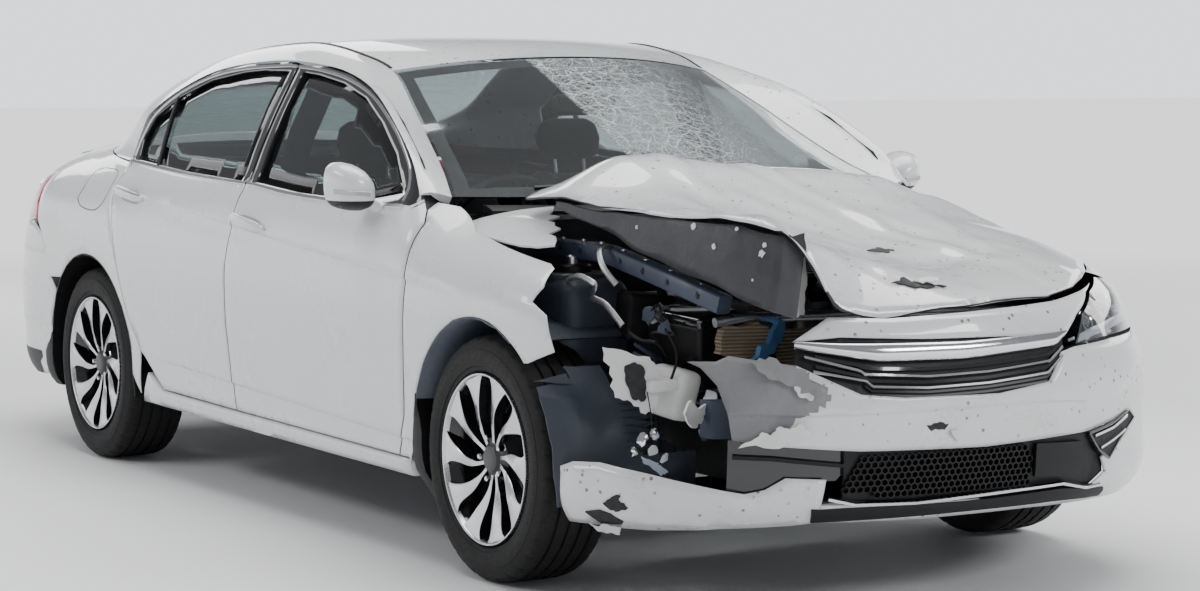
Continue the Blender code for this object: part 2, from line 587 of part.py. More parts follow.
def build_shell():
    arch_radius = TYRE_RADIUS + ARCH_CLEARANCE
    half = SHUT_LINE / 2
    for side, hand in ((-1, "right"), (1, "left")):
        skin = flank(side)
        within = Vector((-side, 0, 0))
        front = [(0.876, 0.268)] + [(y + half, z) for y, z in REAR_EDGE[1:8]]
        crest = [(y, z - 0.003) for y, z in PILLAR_FOOT]
        crest[0] = (1.135, 1.024)
        crest += [(y, crown(LID_HALF + SHUT_LINE, y, REAR_SHOULDER, smooth(DECK, y))) for y in (1.82, 2.0, 2.12)]
        lamp = [(2.130, 0.985), (1.95, 0.982)]
        rim = [spot for spot in arch(REAR_AXLE, 48, 192, arch_radius) if spot[1] > 0.275]
        outline = front + crest + lamp + QUARTER_BACK + rim
        panel("quarter_" + hand, outline, skin, SHEET, WHITE, cell=0.13, away=within)
        sill = [(-1.055, 0.232), (-0.5, 0.234), (0.2, 0.238), (0.868, 0.242), (0.855, 0.262), (0.80, 0.345),
                (0.680, 0.2960), (0.2, 0.2905), (-0.5, 0.2855), (-1.055, 0.2805)]
        panel("sill_" + hand, sill, skin, DOOR_DEPTH + PILLAR_CLEARANCE - 0.003, WHITE, cell=0.2, away=within)

        def inner_skin(y, z):
            depth = DOOR_DEPTH + (FRAME_DEPTH - DOOR_DEPTH) * ramp(0.96, 1.08, z)
            return Vector((side * (half_width(y, z) - depth - PILLAR_CLEARANCE), y, z))

        frame = panel("side_frame_" + hand, FRAME_RIM, inner_skin, PILLAR_DEPTH, STEEL, cell=0.2, away=within)
        back, width, foot, top = HINGE_PLATE
        for hinge in (FRONT_HINGE, REAR_HINGE):
            low = hinge[1] + back
            rings = []
            for z in (foot, 0.55, 0.64, top):
                face = min(half_width(low, z), half_width(low + width, z)) - DOOR_DEPTH - PLATE_TOUCH
                root = face - PILLAR_CLEARANCE - 0.006
                rings.append([Vector((side * out, y, z)) for out, y in ((face, low), (face, low + width),
                                                                        (root, low + width), (root, low))])
            join(frame, loft("hinge_plate", rings, STEEL))
        rows = [0, 1, 2, 3, 4, 5, 6, 7, 8, 9, 9.5, 10, 10.5, 11, 11.5, 12]
        rings = [rail_ring(row, side) for row in rows]
        loft("roof_rail_" + hand, rings, WHITE)
    core = (0, 0.3, 0.6)
    for name, table, parts, depth, look in (("roof", ROOF, 1, SHEET, WHITE), ("windscreen", SCREEN, 1, GLASS, GLAZING),
                                            ("rear_window", BACKLIGHT, 2, GLASS, GLAZING)):
        gap = WINDOW_GAP if name == "rear_window" else EDGE_GAP
        count = parts * (table[-1][0] - table[0][0])
        span, end = 1 - gap / 0.56, (0.003 if look is WHITE else 0.010)
        levels = [end] + [k / count for k in range(1, count)] + [1 - end]
        outline = [(-span, v) for v in levels[::-1]] + [(span, v) for v in levels]
        panel(name, outline, spanning(table), depth, look, cell=0.26, stretch=0.75, core=core,
              inlay={"roof": 0.0, "windscreen": GLASS / 2, "rear_window": GLASS}[name])
    deck = FLOOR_TOP
    wide, narrow = FLOOR_HALF, REAR_LINER_FACE - TOUCH
    face = BULKHEAD + BULKHEAD_WALL
    sections = [(BULKHEAD_HALF, BULKHEAD, BULKHEAD_TOP, face, BULKHEAD_TOP),
                (BULKHEAD_HALF, BULKHEAD, deck - FLOOR_WALL, face, deck),
                (wide, face + 0.004, deck - FLOOR_WALL, face + 0.004, deck),
                (wide, 0.835, deck - FLOOR_WALL, 0.835, deck), (narrow, 0.840, deck - FLOOR_WALL, 0.840, deck),
                (narrow, 0.900, BOOT_FLOOR - FLOOR_WALL, 0.890, BOOT_FLOOR),
                (narrow, 2.200, BOOT_FLOOR - FLOOR_WALL, 2.200, BOOT_FLOOR),
                (0.50, 2.290, BOOT_FLOOR - FLOOR_WALL, 2.290, BOOT_FLOOR)]
    loft("floor_pan", [[Vector((-out, y0, z0)), Vector((out, y0, z0)), Vector((out, y1, z1)),
                        Vector((-out, y1, z1))] for out, y0, z0, y1, z1 in sections], STEEL)
    for axle, end, face in ((FRONT_AXLE, "front", FRONT_LINER_FACE), (REAR_AXLE, "rear", REAR_LINER_FACE)):
        for side, hand in ((-1, "right"), (1, "left")):
            outer = arch_radius - TOUCH
            rings = []
            for turn in range(-12, 193, ARCH_STEP):
                angle = math.radians(turn)
                y, z = math.cos(angle), math.sin(angle)
                edge = half_width(axle + outer * y, TYRE_RADIUS + outer * z)
                profile = [(edge, outer - LINER_WALL), (edge, outer), (face, outer), (face, LINER_HOLE),
                           (face + LINER_WALL, LINER_HOLE), (face + LINER_WALL, outer - LINER_WALL)]
                rings.append([Vector((side * out, axle + radius * y, TYRE_RADIUS + radius * z))
                              for out, radius in profile])
            loft("liner_%s_%s" % (end, hand), rings, RUBBER)


def build_front():
    half = SHUT_LINE / 2
    arch_radius = TYRE_RADIUS + ARCH_CLEARANCE
    core = (0, -1.2, 0.45)
    for side, hand in ((-1, "right"), (1, "left")):
        door = [(y - half, z) for y, z in FRONT_EDGE[:-1]]
        side_line = [(y, crown(x, y, FRONT_SHOULDER, smooth(HOOD, y))) for x, y in BONNET_SIDE]
        if side < 0:
            nose_end = WING_TEAR
        else:
            more = [(0.757, -1.93), (0.632, -2.090)]
            side_line += [(y, crown(x, y, FRONT_SHOULDER, smooth(HOOD, y))) for x, y in more]
            nose_end = [(nose(a + 0.12, z).y, z) for a, z in ((50.0, 0.785), (57.0, 0.740), (62.3, 0.672))]
            nose_end.append((nose(62.4, 0.660).y, 0.660))
        line = [(-1.836, 0.645), (-1.735, 0.609)]
        rim = [spot for spot in arch(FRONT_AXLE, 132, -12, arch_radius) if spot[1] > 0.265]
        outline = [(-1.0585, 0.266), (-1.0585, 0.286)] + door + WING_CREST + side_line + nose_end + line + rim
        panel("wing_" + hand, outline, flank(side), SHEET, WHITE, cell=0.12, away=Vector((-side, 0, 0)))
    panel("bonnet", BONNET, bonnet_skin, BONNET_WALL, WHITE, cell=0.12, core=(0, -1.7, -9))
    panel("front_bumper", BUMPER, nose, BUMPER_WALL, WHITE, cell=0.12, stretch=0.0165, core=core)
    panel("bumper_corner", TORN_CORNER, nose, BUMPER_WALL, WHITE, cell=0.12, stretch=0.0165, core=core)
    panel("grille_upper", GRILLE, nose, GRILLE_WALL, DARK, cell=0.12, stretch=0.0165, core=core,
          inlay=GRILLE_INLAY)
    lip = []
    for x, y in BONNET_LIP:
        z = crown(x, y, FRONT_SHOULDER, smooth(HOOD, y)) - BONNET_WALL - LIP_GAP
        lip.append((math.degrees(math.atan2(x, NOSE_CENTRE - y)), z))
    panel("garnish", GARNISH_FOOT + lip, nose, BUMPER_WALL, SILVER, cell=0.12, stretch=0.0165, core=core)
    panel("grille_lower", LOWER_GRILLE, nose, GRILLE_WALL, DARK, cell=0.14, stretch=0.0165, core=core,
          inlay=GRILLE_INLAY - 0.001)
    panel("headlamp_left", LAMP, nose, LAMP_DEPTH, CLEAR, cell=0.12, stretch=0.0165, core=core)
    block("radiator", (-RAIL_IN + TOUCH, -2.05, 0.30), (RAIL_IN - TOUCH, -1.99, 0.70), STEEL)
    bow = [(x, BEAM_FRONT + BEAM_BOW * (abs(x) / BEAM_HALF) ** 2) for x in (-BEAM_HALF, -0.42, -0.2, 0.0, 0.2,
                                                                            0.42, BEAM_HALF)]
    back = [(x, y + BEAM_DEPTH) for x, y in bow[::-1]]
    root = BULKHEAD - TOUCH
    pad = BUMPER_PAD_FACE
    outline = bow[:2] + [bow[2], (-0.20, pad + 0.011), (-0.10, pad + 0.003), (0.0, pad), (0.10, pad + 0.003),
                         (0.20, pad + 0.011)] + bow[4:] + [back[0]]
    for side in (1, -1):
        legs = [(side * RAIL_OUT, BEAM_FRONT + BEAM_BOW * (RAIL_OUT / BEAM_HALF) ** 2 + BEAM_DEPTH),
                (side * RAIL_OUT, root), (side * RAIL_IN, root),
                (side * RAIL_IN, BEAM_FRONT + BEAM_BOW * (RAIL_IN / BEAM_HALF) ** 2 + BEAM_DEPTH)]
        outline += legs if side > 0 else legs[::-1]
    outline.append(back[-1])
    prism("front_frame", outline, 0.44, 0.535, STEEL, axis=2)
    half, lug = ENGINE_HALF, RAIL_IN - TOUCH
    outline = [(-half, 0.27), (half, 0.27), (half, 0.46), (lug, 0.46), (lug, 0.52), (half, 0.52), (half, 0.74),
               (-half, 0.74), (-half, 0.52), (-lug, 0.52), (-lug, 0.46), (-half, 0.46)]
    rings = [[Vector((x, y, z)) for x, z in outline] for y in ENGINE_SPAN]
    loft("engine_block", rings, STEEL)
    ball = TYRE_RADIUS - DISC_RADIUS - TOUCH
    reach = TRACK / 2 - KINGPIN_OFFSET + 0.02
    top = 0.44 - TOUCH
    outline = [(-reach, ball - ARM_DEPTH), (reach, ball - ARM_DEPTH), (reach, ball), (RAIL_OUT, ball),
               (RAIL_OUT, top), (RAIL_IN, top), (RAIL_IN, ball), (-RAIL_IN, ball), (-RAIL_IN, top),
               (-RAIL_OUT, top), (-RAIL_OUT, ball), (-reach, ball)]
    rings = [[Vector((x, y, z)) for x, z in outline] for y in (FRONT_AXLE - ARM_HALF, FRONT_AXLE + ARM_HALF)]
    loft("front_subframe", rings, STEEL)
    tops, feet = [], []
    for x, y, z, drop in FLAP:
        z = bonnet_skin(x, y).z - BONNET_WALL - FLAP_GAP
        tops.append(Vector((x, y, z)))
        feet.append(Vector((x - 0.15 * drop, y, z - drop)))
    rings = []
    for high, low in zip(tops, feet):
        rings.append([high, high + Vector((FLAP_WALL, 0, 0)), low + Vector((FLAP_WALL, 0, 0)), low])
    loft("bonnet_frame", rings, DARK)


def lid_skin(x, v):
    """Boot lid: along the deck for the first part of v, then down the tail."""
    front = LID_FRONT - 0.006 * (abs(x) / LID_HALF) ** 2

    def back(z):
        low, high = 1.6, 2.44
        for _ in range(40):
            y = (low + high) / 2
            if half_width(y, z) > abs(x):
                low = y
            else:
                high = y
        return low

    turn = LID_REAR_TOP - 0.06 * (abs(x) / LID_HALF) ** 2
    if v < 0.5:
        y = front + (turn - front) * v / 0.5
        return Vector((x, y, crown(x, y, REAR_SHOULDER, smooth(DECK, y))))
    low_z = 0.99
    if v > 0.65:
        z = low_z + (LID_FOOT - low_z) * (v - 0.65) / 0.35
        return Vector((x, back(z), z))
    first = Vector((x, turn, crown(x, turn, REAR_SHOULDER, smooth(DECK, turn))))
    last = Vector((x, back(low_z), low_z))
    bend = Vector((x, max(last.y, first.y + 0.03) + 0.004, first.z - 0.008))
    t = (v - 0.5) / 0.15
    return first * (1 - t) ** 2 + bend * 2 * t * (1 - t) + last * t * t


def lamp_angle(y, z):
    """Angle off the tail's middle of the lamp's edge beside the quarter."""
    return math.degrees(math.atan2(half_width(y, z), y + LAMP_GAP - TAIL_CENTRE))


def build_rear():
    core = (0, 1.2, 0.6)
    low = LID_HALF - LID_TAPER
    outline = [(-LID_HALF, 0.0), (LID_HALF, 0.0), (LID_HALF, 0.5), (low, 0.66), (low - 0.01, 1.0),
               (0.01 - low, 1.0), (-low, 0.66), (-LID_HALF, 0.5)]
    place = lambda x, v: lid_skin(x, v / 0.75)
    outline = [(x, v * 0.75) for x, v in outline]
    lid = panel("boot_lid", outline, place, LID_WALL, WHITE, cell=0.12, core=core, pivot=(0, *BOOT_HINGE))
    y, z = BOOT_HINGE
    for side, hand in ((-1, "right"), (1, "left")):
        for body, near, far, reach in ((lid, LID_HALF - HINGE_WIDTH, LID_HALF, 2 * HINGE_REACH),
                                       (bpy.data.objects["quarter_" + hand], LID_HALF + TOUCH,
                                        LID_HALF + HINGE_WIDTH, HINGE_REACH)):
            rings = []
            for x in (near, far):
                high = crown(x, y, REAR_SHOULDER, smooth(DECK, y)) - 0.0012
                rings.append([Vector((side * x, y - HINGE_REACH, z - HINGE_REACH)),
                              Vector((side * x, y + reach, z - HINGE_REACH)), Vector((side * x, y + reach, high - 0.003)),
                              Vector((side * x, y - HINGE_REACH, high))])
            join(body, loft("hinge_arm", rings, STEEL))
        outer = [(lamp_angle(y, z), z) for y, z in QUARTER_BACK[:2]] + [(lamp_angle(*QUARTER_BACK[2]), 0.803)]
        lamp = [(side * angle, z) for angle, z in outer[::-1] + TAIL_LAMP]
        panel("tail_lamp_" + hand, lamp, tail, 0.05, RED, cell=0.12, stretch=0.0165, core=core)
    ends = []
    for y, z in [(y, z) for y, z in QUARTER_BACK[3:]] + [(1.618, 0.560), (1.682, 0.45), (1.703, 0.33)]:
        out = half_width(y, z)
        ends.append((math.degrees(math.atan2(out, y + LAMP_GAP - TAIL_CENTRE)), z))
    left = REAR_BUMPER_TOP[::-1] + ends + REAR_BUMPER_FOOT[:-1]
    right = [(-angle, z) for angle, z in left[::-1]][:-1]
    foot = [REAR_BUMPER_FOOT[-1]]
    panel("rear_bumper", left + foot + right, tail, BUMPER_WALL, WHITE, cell=0.14, stretch=0.0165, core=core)


def door_depth(y, z):
    return DOOR_DEPTH + (FRAME_DEPTH - DOOR_DEPTH) * ramp(0.96, 1.04, z)


def build_doors():
    half = SHUT_LINE / 2

    def middle(sign):
        return [(y + sign * (half + FRAME_GAP * ramp(0.96, 1.08, z)), z) for y, z in MIDDLE_EDGE]

    shift = [(y + half, z) for y, z in FRONT_EDGE]
    front = middle(-1) + TOP_EDGE[::-1] + shift[::-1]
    back = [(y - half, z) for y, z in REAR_EDGE]
    rear = back + REAR_TOP_EDGE[::-1] + middle(1)[::-1]
    for side, hand in ((-1, "right"), (1, "left")):
        skin = flank(side)
        within = Vector((-side, 0, 0))
        for end, outline, window, hinge in (("front", front, FRONT_WINDOW, FRONT_HINGE),
                                            ("rear", rear, REAR_WINDOW, REAR_HINGE)):
            pivot = (side * hinge[0], hinge[1], 0.6)
            panel("door_%s_%s" % (end, hand), outline, skin, door_depth, WHITE, holes=[window], cell=0.15,
                  pivot=pivot, away=within)
            panel("glass_%s_%s" % (end, hand), inset(window, TOUCH), skin, GLASS, GLAZING, cell=0.2,
                  pivot=pivot, away=within, inlay=GLASS_INLAY)
        rings = []
        foot = half_width(-0.80, 0.945) - 0.0045
        for x, y, z, depth, height in ((foot, -0.80, 0.957, 0.035, 0.012), (foot + 0.006, -0.80, 0.975, 0.04, 0.02),
                                       (0.905, -0.80, 1.015, 0.10, 0.06), (0.960, -0.79, 1.025, 0.11, 0.065),
                                       (1.000, -0.775, 1.028, 0.09, 0.06), (1.017, -0.765, 1.028, 0.05, 0.04)):
            ring = []
            for k in range(10):
                turn = 2 * math.pi * k / 10
                ring.append(Vector((side * x, y + depth * math.cos(turn), z + height * math.sin(turn))))
            rings.append(ring)
        loft("mirror_" + hand, rings, WHITE, pivot=(side * FRONT_HINGE[0], FRONT_HINGE[1], 0.6))


def build_wheels():
    wall = TYRE_WIDTH / 2
    bead = RIM_RADIUS + TOUCH
    tyre = [(-0.090, bead), (-0.100, bead + 0.008), (-wall, 0.272), (-0.108, 0.300), (-0.098, 0.3185),
            (-0.080, TYRE_RADIUS - 0.0015), (0, TYRE_RADIUS), (0.080, TYRE_RADIUS - 0.0015), (0.098, 0.3185),
            (0.108, 0.300), (wall, 0.272), (0.100, bead + 0.008), (0.090, bead), (0, bead)]
    for axle, end in ((FRONT_AXLE, "front"), (REAR_AXLE, "rear")):
        for side, hand in ((-1, "right"), (1, "left")):
            centre = (side * TRACK / 2, axle, TYRE_RADIUS)
            turned("tyre_%s_%s" % (end, hand), tyre, centre, RUBBER, 28, pivot=centre)
            edge = RIM_WIDTH / 2
            rim = [(-edge, RIM_RADIUS), (edge, RIM_RADIUS), (edge, RIM_RADIUS - RIM_WALL), (0.085, 0.205),
                   (0.078, 0.19), (0.060, HUB_RADIUS), (0.062, 0.03), (0.030, 0.03), (0.026, HUB_RADIUS),
                   (0.040, 0.175), (0.030, 0.203), (-edge, RIM_RADIUS - RIM_WALL)]
            turned("rim_%s_%s" % (end, hand), [(side * x, r) for x, r in rim], centre, SILVER, 28, pivot=centre)
    for side, hand in ((-1, "right"), (1, "left")):
        centre = (side * TRACK / 2, FRONT_AXLE, TYRE_RADIUS)
        hub = [(-0.19, 0.001), (-0.19, 0.045), (-0.085, 0.05), (-0.075, DISC_RADIUS), (-0.045, DISC_RADIUS), (-0.040, 0.065),
               (0.0257, 0.065), (0.0257, 0.001)]
        pivot = (side * (TRACK / 2 - KINGPIN_OFFSET), FRONT_AXLE, TYRE_RADIUS)
        turned("knuckle_" + hand, [(side * x, r) for x, r in hub], centre, STEEL, 20, pivot=pivot)
    reach = TRACK / 2
    carrier = BOOT_FLOOR - FLOOR_WALL - TYRE_RADIUS - TOUCH
    half_axle = [(0.0257, 0.065), (-0.040, 0.065), (-0.045, DISC_RADIUS), (-0.075, DISC_RADIUS),
                 (-0.085, 0.05), (-0.19, 0.035), (-0.56, 0.035), (-0.60, carrier)]
    axle = [(reach + x, r) for x, r in half_axle]
    axle = [(reach + 0.0257, 0.001)] + axle + [(-x, r) for x, r in axle[::-1]] + [(-reach - 0.0257, 0.001)]
    turned("rear_axle", axle, (0, REAR_AXLE, TYRE_RADIUS), STEEL, 20)


def build_cabin():
    dash = [(-1.0757, 0.60), (-0.86, 0.62), (-0.74, 0.70), (-0.73, 0.84), (-0.80, 0.925), (-1.0757, 0.93)]
    prism("dashboard", dash, -0.700, 0.700, TRIM)
    for side, hand in ((-1, "right"), (1, "left")):
        shape = [(-0.36, 0.245), (0.12, 0.245), (0.20, 0.52), (0.30, 0.98), (0.27, 1.02), (0.29, 1.18),
                 (0.22, 1.19), (0.17, 1.03), (0.12, 0.98), (0.02, 0.60), (-0.05, 0.50), (-0.36, 0.52),
                 (-0.42, 0.47)]
        prism("seat_front_" + hand, shape, side * SEAT_OFFSET - SEAT_WIDTH / 2,
              side * SEAT_OFFSET + SEAT_WIDTH / 2, TRIM)
    shape = [(0.42, 0.2450), (0.825, 0.2450), (0.860, 0.44), (0.96, 0.46), (1.10, 0.88), (1.02, 0.92),
             (0.86, 0.52), (0.44, 0.50)]
    prism("seat_rear", shape, -0.585, 0.585, TRIM)
    tilt = math.radians(STEERING_TILT)
    centre = Vector(STEERING_CENTRE)

    def turn_in(x, along, up):
        return centre + Vector((x, along * math.cos(tilt) - up * math.sin(tilt),
                                up * math.cos(tilt) + along * math.sin(tilt)))

    rings = []
    for k in range(20):
        turn = 2 * math.pi * k / 20
        ring = []
        for j in range(6):
            small = 2 * math.pi * j / 6
            radius = STEERING_WHEEL_RADIUS + STEERING_RIM_RADIUS * math.cos(small)
            ring.append(turn_in(radius * math.cos(turn), STEERING_RIM_RADIUS * math.sin(small),
                                radius * math.sin(turn)))
        rings.append(ring)
    wheel = loft("steering_wheel", rings, TRIM, pivot=centre, closed=True)
    reach = STEERING_WHEEL_RADIUS
    for low, high in (((-reach, -0.010, -0.022), (reach, 0.006, 0.022)), ((-0.022, -0.010, -reach), (0.022, 0.006, 0))):
        rings = [[turn_in(x, along, up) for x, up in ((low[0], low[2]), (high[0], low[2]), (high[0], high[2]),
                                                      (low[0], high[2]))] for along in (low[1], high[1])]
        join(wheel, loft("spoke", rings, TRIM))
    rings = []
    for along, radius in ((-COLUMN_LENGTH, 0.020), (-0.030, 0.022), (-0.028, 0.055), (0.018, 0.050)):
        rings.append([turn_in(radius * math.cos(math.pi * k / 8), along, radius * math.sin(math.pi * k / 8))
                      for k in range(16)])
    join(wheel, loft("column", rings, TRIM))


def main():
    for body in list(bpy.data.objects):
        bpy.data.objects.remove(body, do_unlink=True)
    build_shell()
    build_front()
    build_rear()
    build_doors()
    build_wheels()
    build_cabin()


main()
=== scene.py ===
"""Visual model of a crashed white saloon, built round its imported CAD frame."""
import functools
import json
import math
import random

import bmesh
import bpy
import mathutils
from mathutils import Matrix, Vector

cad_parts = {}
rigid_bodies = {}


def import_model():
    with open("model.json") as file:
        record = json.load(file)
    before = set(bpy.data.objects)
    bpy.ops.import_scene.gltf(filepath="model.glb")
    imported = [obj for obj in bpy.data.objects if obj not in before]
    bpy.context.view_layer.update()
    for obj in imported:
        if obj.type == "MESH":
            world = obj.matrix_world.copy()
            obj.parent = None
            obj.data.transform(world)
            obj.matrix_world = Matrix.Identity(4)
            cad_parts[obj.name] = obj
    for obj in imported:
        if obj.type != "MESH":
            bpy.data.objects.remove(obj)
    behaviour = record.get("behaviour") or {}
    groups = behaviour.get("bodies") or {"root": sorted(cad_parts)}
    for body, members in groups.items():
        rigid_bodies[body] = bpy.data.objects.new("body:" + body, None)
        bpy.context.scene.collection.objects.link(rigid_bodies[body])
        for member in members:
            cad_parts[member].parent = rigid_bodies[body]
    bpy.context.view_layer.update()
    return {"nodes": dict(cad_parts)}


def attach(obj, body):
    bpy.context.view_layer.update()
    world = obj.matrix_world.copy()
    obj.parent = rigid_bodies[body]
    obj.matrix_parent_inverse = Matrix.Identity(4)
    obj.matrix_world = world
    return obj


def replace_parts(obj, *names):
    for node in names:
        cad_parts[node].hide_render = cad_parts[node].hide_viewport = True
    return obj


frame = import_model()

NODES = frame["nodes"]
HANDS = ((-1, "right"), (1, "left"))
scene = bpy.context.scene

# ---------------------------------------------------------------- camera, light, sky
camera = bpy.data.objects.new("camera", bpy.data.cameras.new("camera"))
scene.collection.objects.link(camera)
camera.location = (-4.57625, -8.15051, 1.40111)
camera.rotation_mode = "XYZ"
camera.rotation_euler = (math.radians(90 - 4.7215), math.radians(-0.0783), math.radians(-31.128))
camera.data.lens = 87.52
camera.data.sensor_width = 36.0
camera.data.shift_x = -0.00075
camera.data.shift_y = -0.00275
scene.camera = camera


def light(name, place, aim, size, power, colour=(1, 1, 1)):
    lamp = bpy.data.lights.new(name, "AREA")
    lamp.shape, lamp.size, lamp.size_y, lamp.energy, lamp.color = "RECTANGLE", size[0], size[1], power, colour
    body = bpy.data.objects.new(name, lamp)
    scene.collection.objects.link(body)
    body.location = place
    body.rotation_euler = (Vector(aim) - Vector(place)).to_track_quat("-Z", "Y").to_euler()


light("top_light", (0.5, -0.2, 5.2), (0, 0, 0.4), (3.6, 6.5), 400)
light("side_light", (-6.5, 1.5, 4.6), (0, 0.2, 0.5), (5.5, 1.2), 150)
light("nose_light", (3.0, -8.0, 4.0), (0, -1.5, 0.4), (3.5, 1.4), 230)
light("rear_light", (1.0, 8.0, 4.0), (0, 1.0, 0.7), (5.0, 2.5), 150)
light("left_light", (8.0, 1.0, 3.4), (0, 0.0, 0.6), (6.0, 2.0), 120)
world = bpy.data.worlds.new("studio")
scene.world = world
world.use_nodes = True
sky = world.node_tree
sky.nodes["Background"].inputs[0].default_value = (0.94, 0.955, 1.0, 1)
heading = sky.nodes.new("ShaderNodeTexCoord")
parts = sky.nodes.new("ShaderNodeSeparateXYZ")
height = sky.nodes.new("ShaderNodeMath")
height.operation = "ABSOLUTE"
glow = sky.nodes.new("ShaderNodeMapRange")
for index, number in enumerate((0.06, 0.18, 1.75, 0.32)):
    glow.inputs[index + 1].default_value = number
sky.links.new(heading.outputs["Generated"], parts.inputs[0])
sky.links.new(parts.outputs["Z"], height.inputs[0])
sky.links.new(height.outputs[0], glow.inputs[0])
sky.links.new(glow.outputs[0], sky.nodes["Background"].inputs[1])

# ---------------------------------------------------------------- materials


class Nodes:
    """Short way to wire a material."""

    def __init__(self, name, **sockets):
        self.material = bpy.data.materials.new(name)
        self.material.use_nodes = True
        self.tree = self.material.node_tree
        self.shader = self.tree.nodes["Principled BSDF"]
        self.set(self.shader, **sockets)

    def set(self, node, **sockets):
        for name, value in sockets.items():
            name = name.replace("_", " ")
            socket = node.inputs[name] if name in node.inputs else node.inputs[int(name[1:])]
            if hasattr(value, "is_output"):
                self.tree.links.new(value, socket)
            elif isinstance(value, (tuple, list)) and socket.type == "RGBA" and len(value) == 3:
                socket.default_value = (*value, 1.0)
            else:
                socket.default_value = value

    def add(self, kind, attributes=None, **sockets):
        node = self.tree.nodes.new("ShaderNode" + kind)
        for key, value in (attributes or {}).items():
            setattr(node, key, value)
        self.set(node, **sockets)
        return node

    def place(self, scale=(1, 1, 1), rotation=(0, 0, 0)):
        where = self.add("TexCoord").outputs["Object"]
        return self.add("Mapping", Vector=where, Scale=scale, Rotation=rotation).outputs[0]

    def noise(self, scale, detail=4.0, roughness=0.55, where=None, distortion=0.0):
        return self.add("TexNoise", Vector=where or self.place(), Scale=scale, Detail=detail, Roughness=roughness,
            Distortion=distortion).outputs[0]

    def voronoi(self, scale, feature="F1", where=None, randomness=1.0, distance="EUCLIDEAN"):
        return self.add("TexVoronoi", {"feature": feature, "distance": distance}, Vector=where or self.place(),
            Scale=scale, Randomness=randomness)

    def span(self, value, low, high, to_low=0.0, to_high=1.0):
        node = self.add("MapRange", {"clamp": True}, Value=value)
        for index, number in enumerate((low, high, to_low, to_high)):
            node.inputs[index + 1].default_value = number
        return node.outputs[0]

    def maths(self, kind, a, b=0.5):
        node = self.add("Math", {"operation": kind})
        self.set(node, _0=a, _1=b)
        return node.outputs[0]

    def mix(self, share, a, b):
        node = self.add("Mix", {"data_type": "RGBA"})
        for socket, value in ((node.inputs[0], share), (node.inputs[6], a), (node.inputs[7], b)):
            if hasattr(value, "is_output"):
                self.tree.links.new(value, socket)
            else:
                socket.default_value = (*value, 1.0) if isinstance(value, tuple) else value
        return node.outputs[2]

    def bump(self, height, strength=0.3, distance=0.002, normal=None):
        node = self.add("Bump", Height=height, Strength=strength, Distance=distance)
        if normal is not None:
            self.tree.links.new(normal, node.inputs["Normal"])
        self.tree.links.new(node.outputs[0], self.shader.inputs["Normal"])
        return node.outputs[0]

    def colour(self, value):
        self.set(self.shader, Base_Color=value)

    def rough(self, value):
        self.set(self.shader, Roughness=value)


def plain(name, dark, light_one, low, high, scale=60.0, bump=0.15, distance=0.0006, **sockets):
    """A material with mottled colour, roughness between two values and a fine grain."""
    m = Nodes(name, **sockets)
    grain = m.noise(scale, 5.0, 0.6)
    m.colour(m.mix(m.noise(scale * 0.07, 4.0), dark, light_one))
    m.rough(m.span(grain, 0.3, 0.7, low, high))
    m.bump(grain, bump, distance)
    return m.material


def paint(name, wear):
    """White lacquer; wear adds dust, chips and scratches."""
    m = Nodes(name, Coat_Weight=1.0, Coat_Roughness=0.04, Metallic=0.0)
    base = m.mix(m.noise(1.7, 3.0), (0.655, 0.664, 0.678), (0.705, 0.712, 0.722))
    orange = m.noise(260.0, 2.0)
    rough = m.span(m.noise(5.0, 4.0), 0.3, 0.7, 0.24, 0.34)
    height = orange
    strength = 0.02
    if wear:
        specks = m.voronoi(34.0, where=m.place((1, 1, 1)))
        dot = m.span(specks.outputs["Distance"], 0.15, 0.195, 1.0, 0.0)
        pick = m.span(m.noise(9.0, 4.0, 0.7), 0.565 - 0.07 * wear, 0.56, 0.0, 1.0)
        dot = m.maths("MULTIPLY", dot, pick)
        lines = m.noise(3.0, 6.0, 0.75, where=m.place((9, 2.0, 26), (0.35, 0.2, 0.5)))
        scratch = m.span(m.maths("ABSOLUTE", m.maths("SUBTRACT", lines, 0.5)), 0.0, 0.0085, 1.0, 0.0)
        patch = m.span(m.noise(5.5, 4.0, 0.6), 0.6 - 0.05 * wear, 0.63, 0.0, 0.85 * wear)
        scratch = m.maths("MULTIPLY", scratch, patch)
        dust = m.span(m.noise(1.3, 7.0, 0.65), 0.5, 0.85, 0.0, 0.3 * wear)
        base = m.mix(dust, base, (0.56, 0.555, 0.54))
        base = m.mix(m.maths("MAXIMUM", dot, scratch), base, (0.16, 0.155, 0.15))
        rough = m.maths("ADD", rough, m.maths("MULTIPLY", dust, 0.6))
        height = m.maths("SUBTRACT", orange, m.maths("MULTIPLY", m.maths("MAXIMUM", dot, scratch), 2.0))
        strength = 0.05
    m.colour(base)
    m.rough(rough)
    m.bump(height, strength, 0.001)
    return m.material


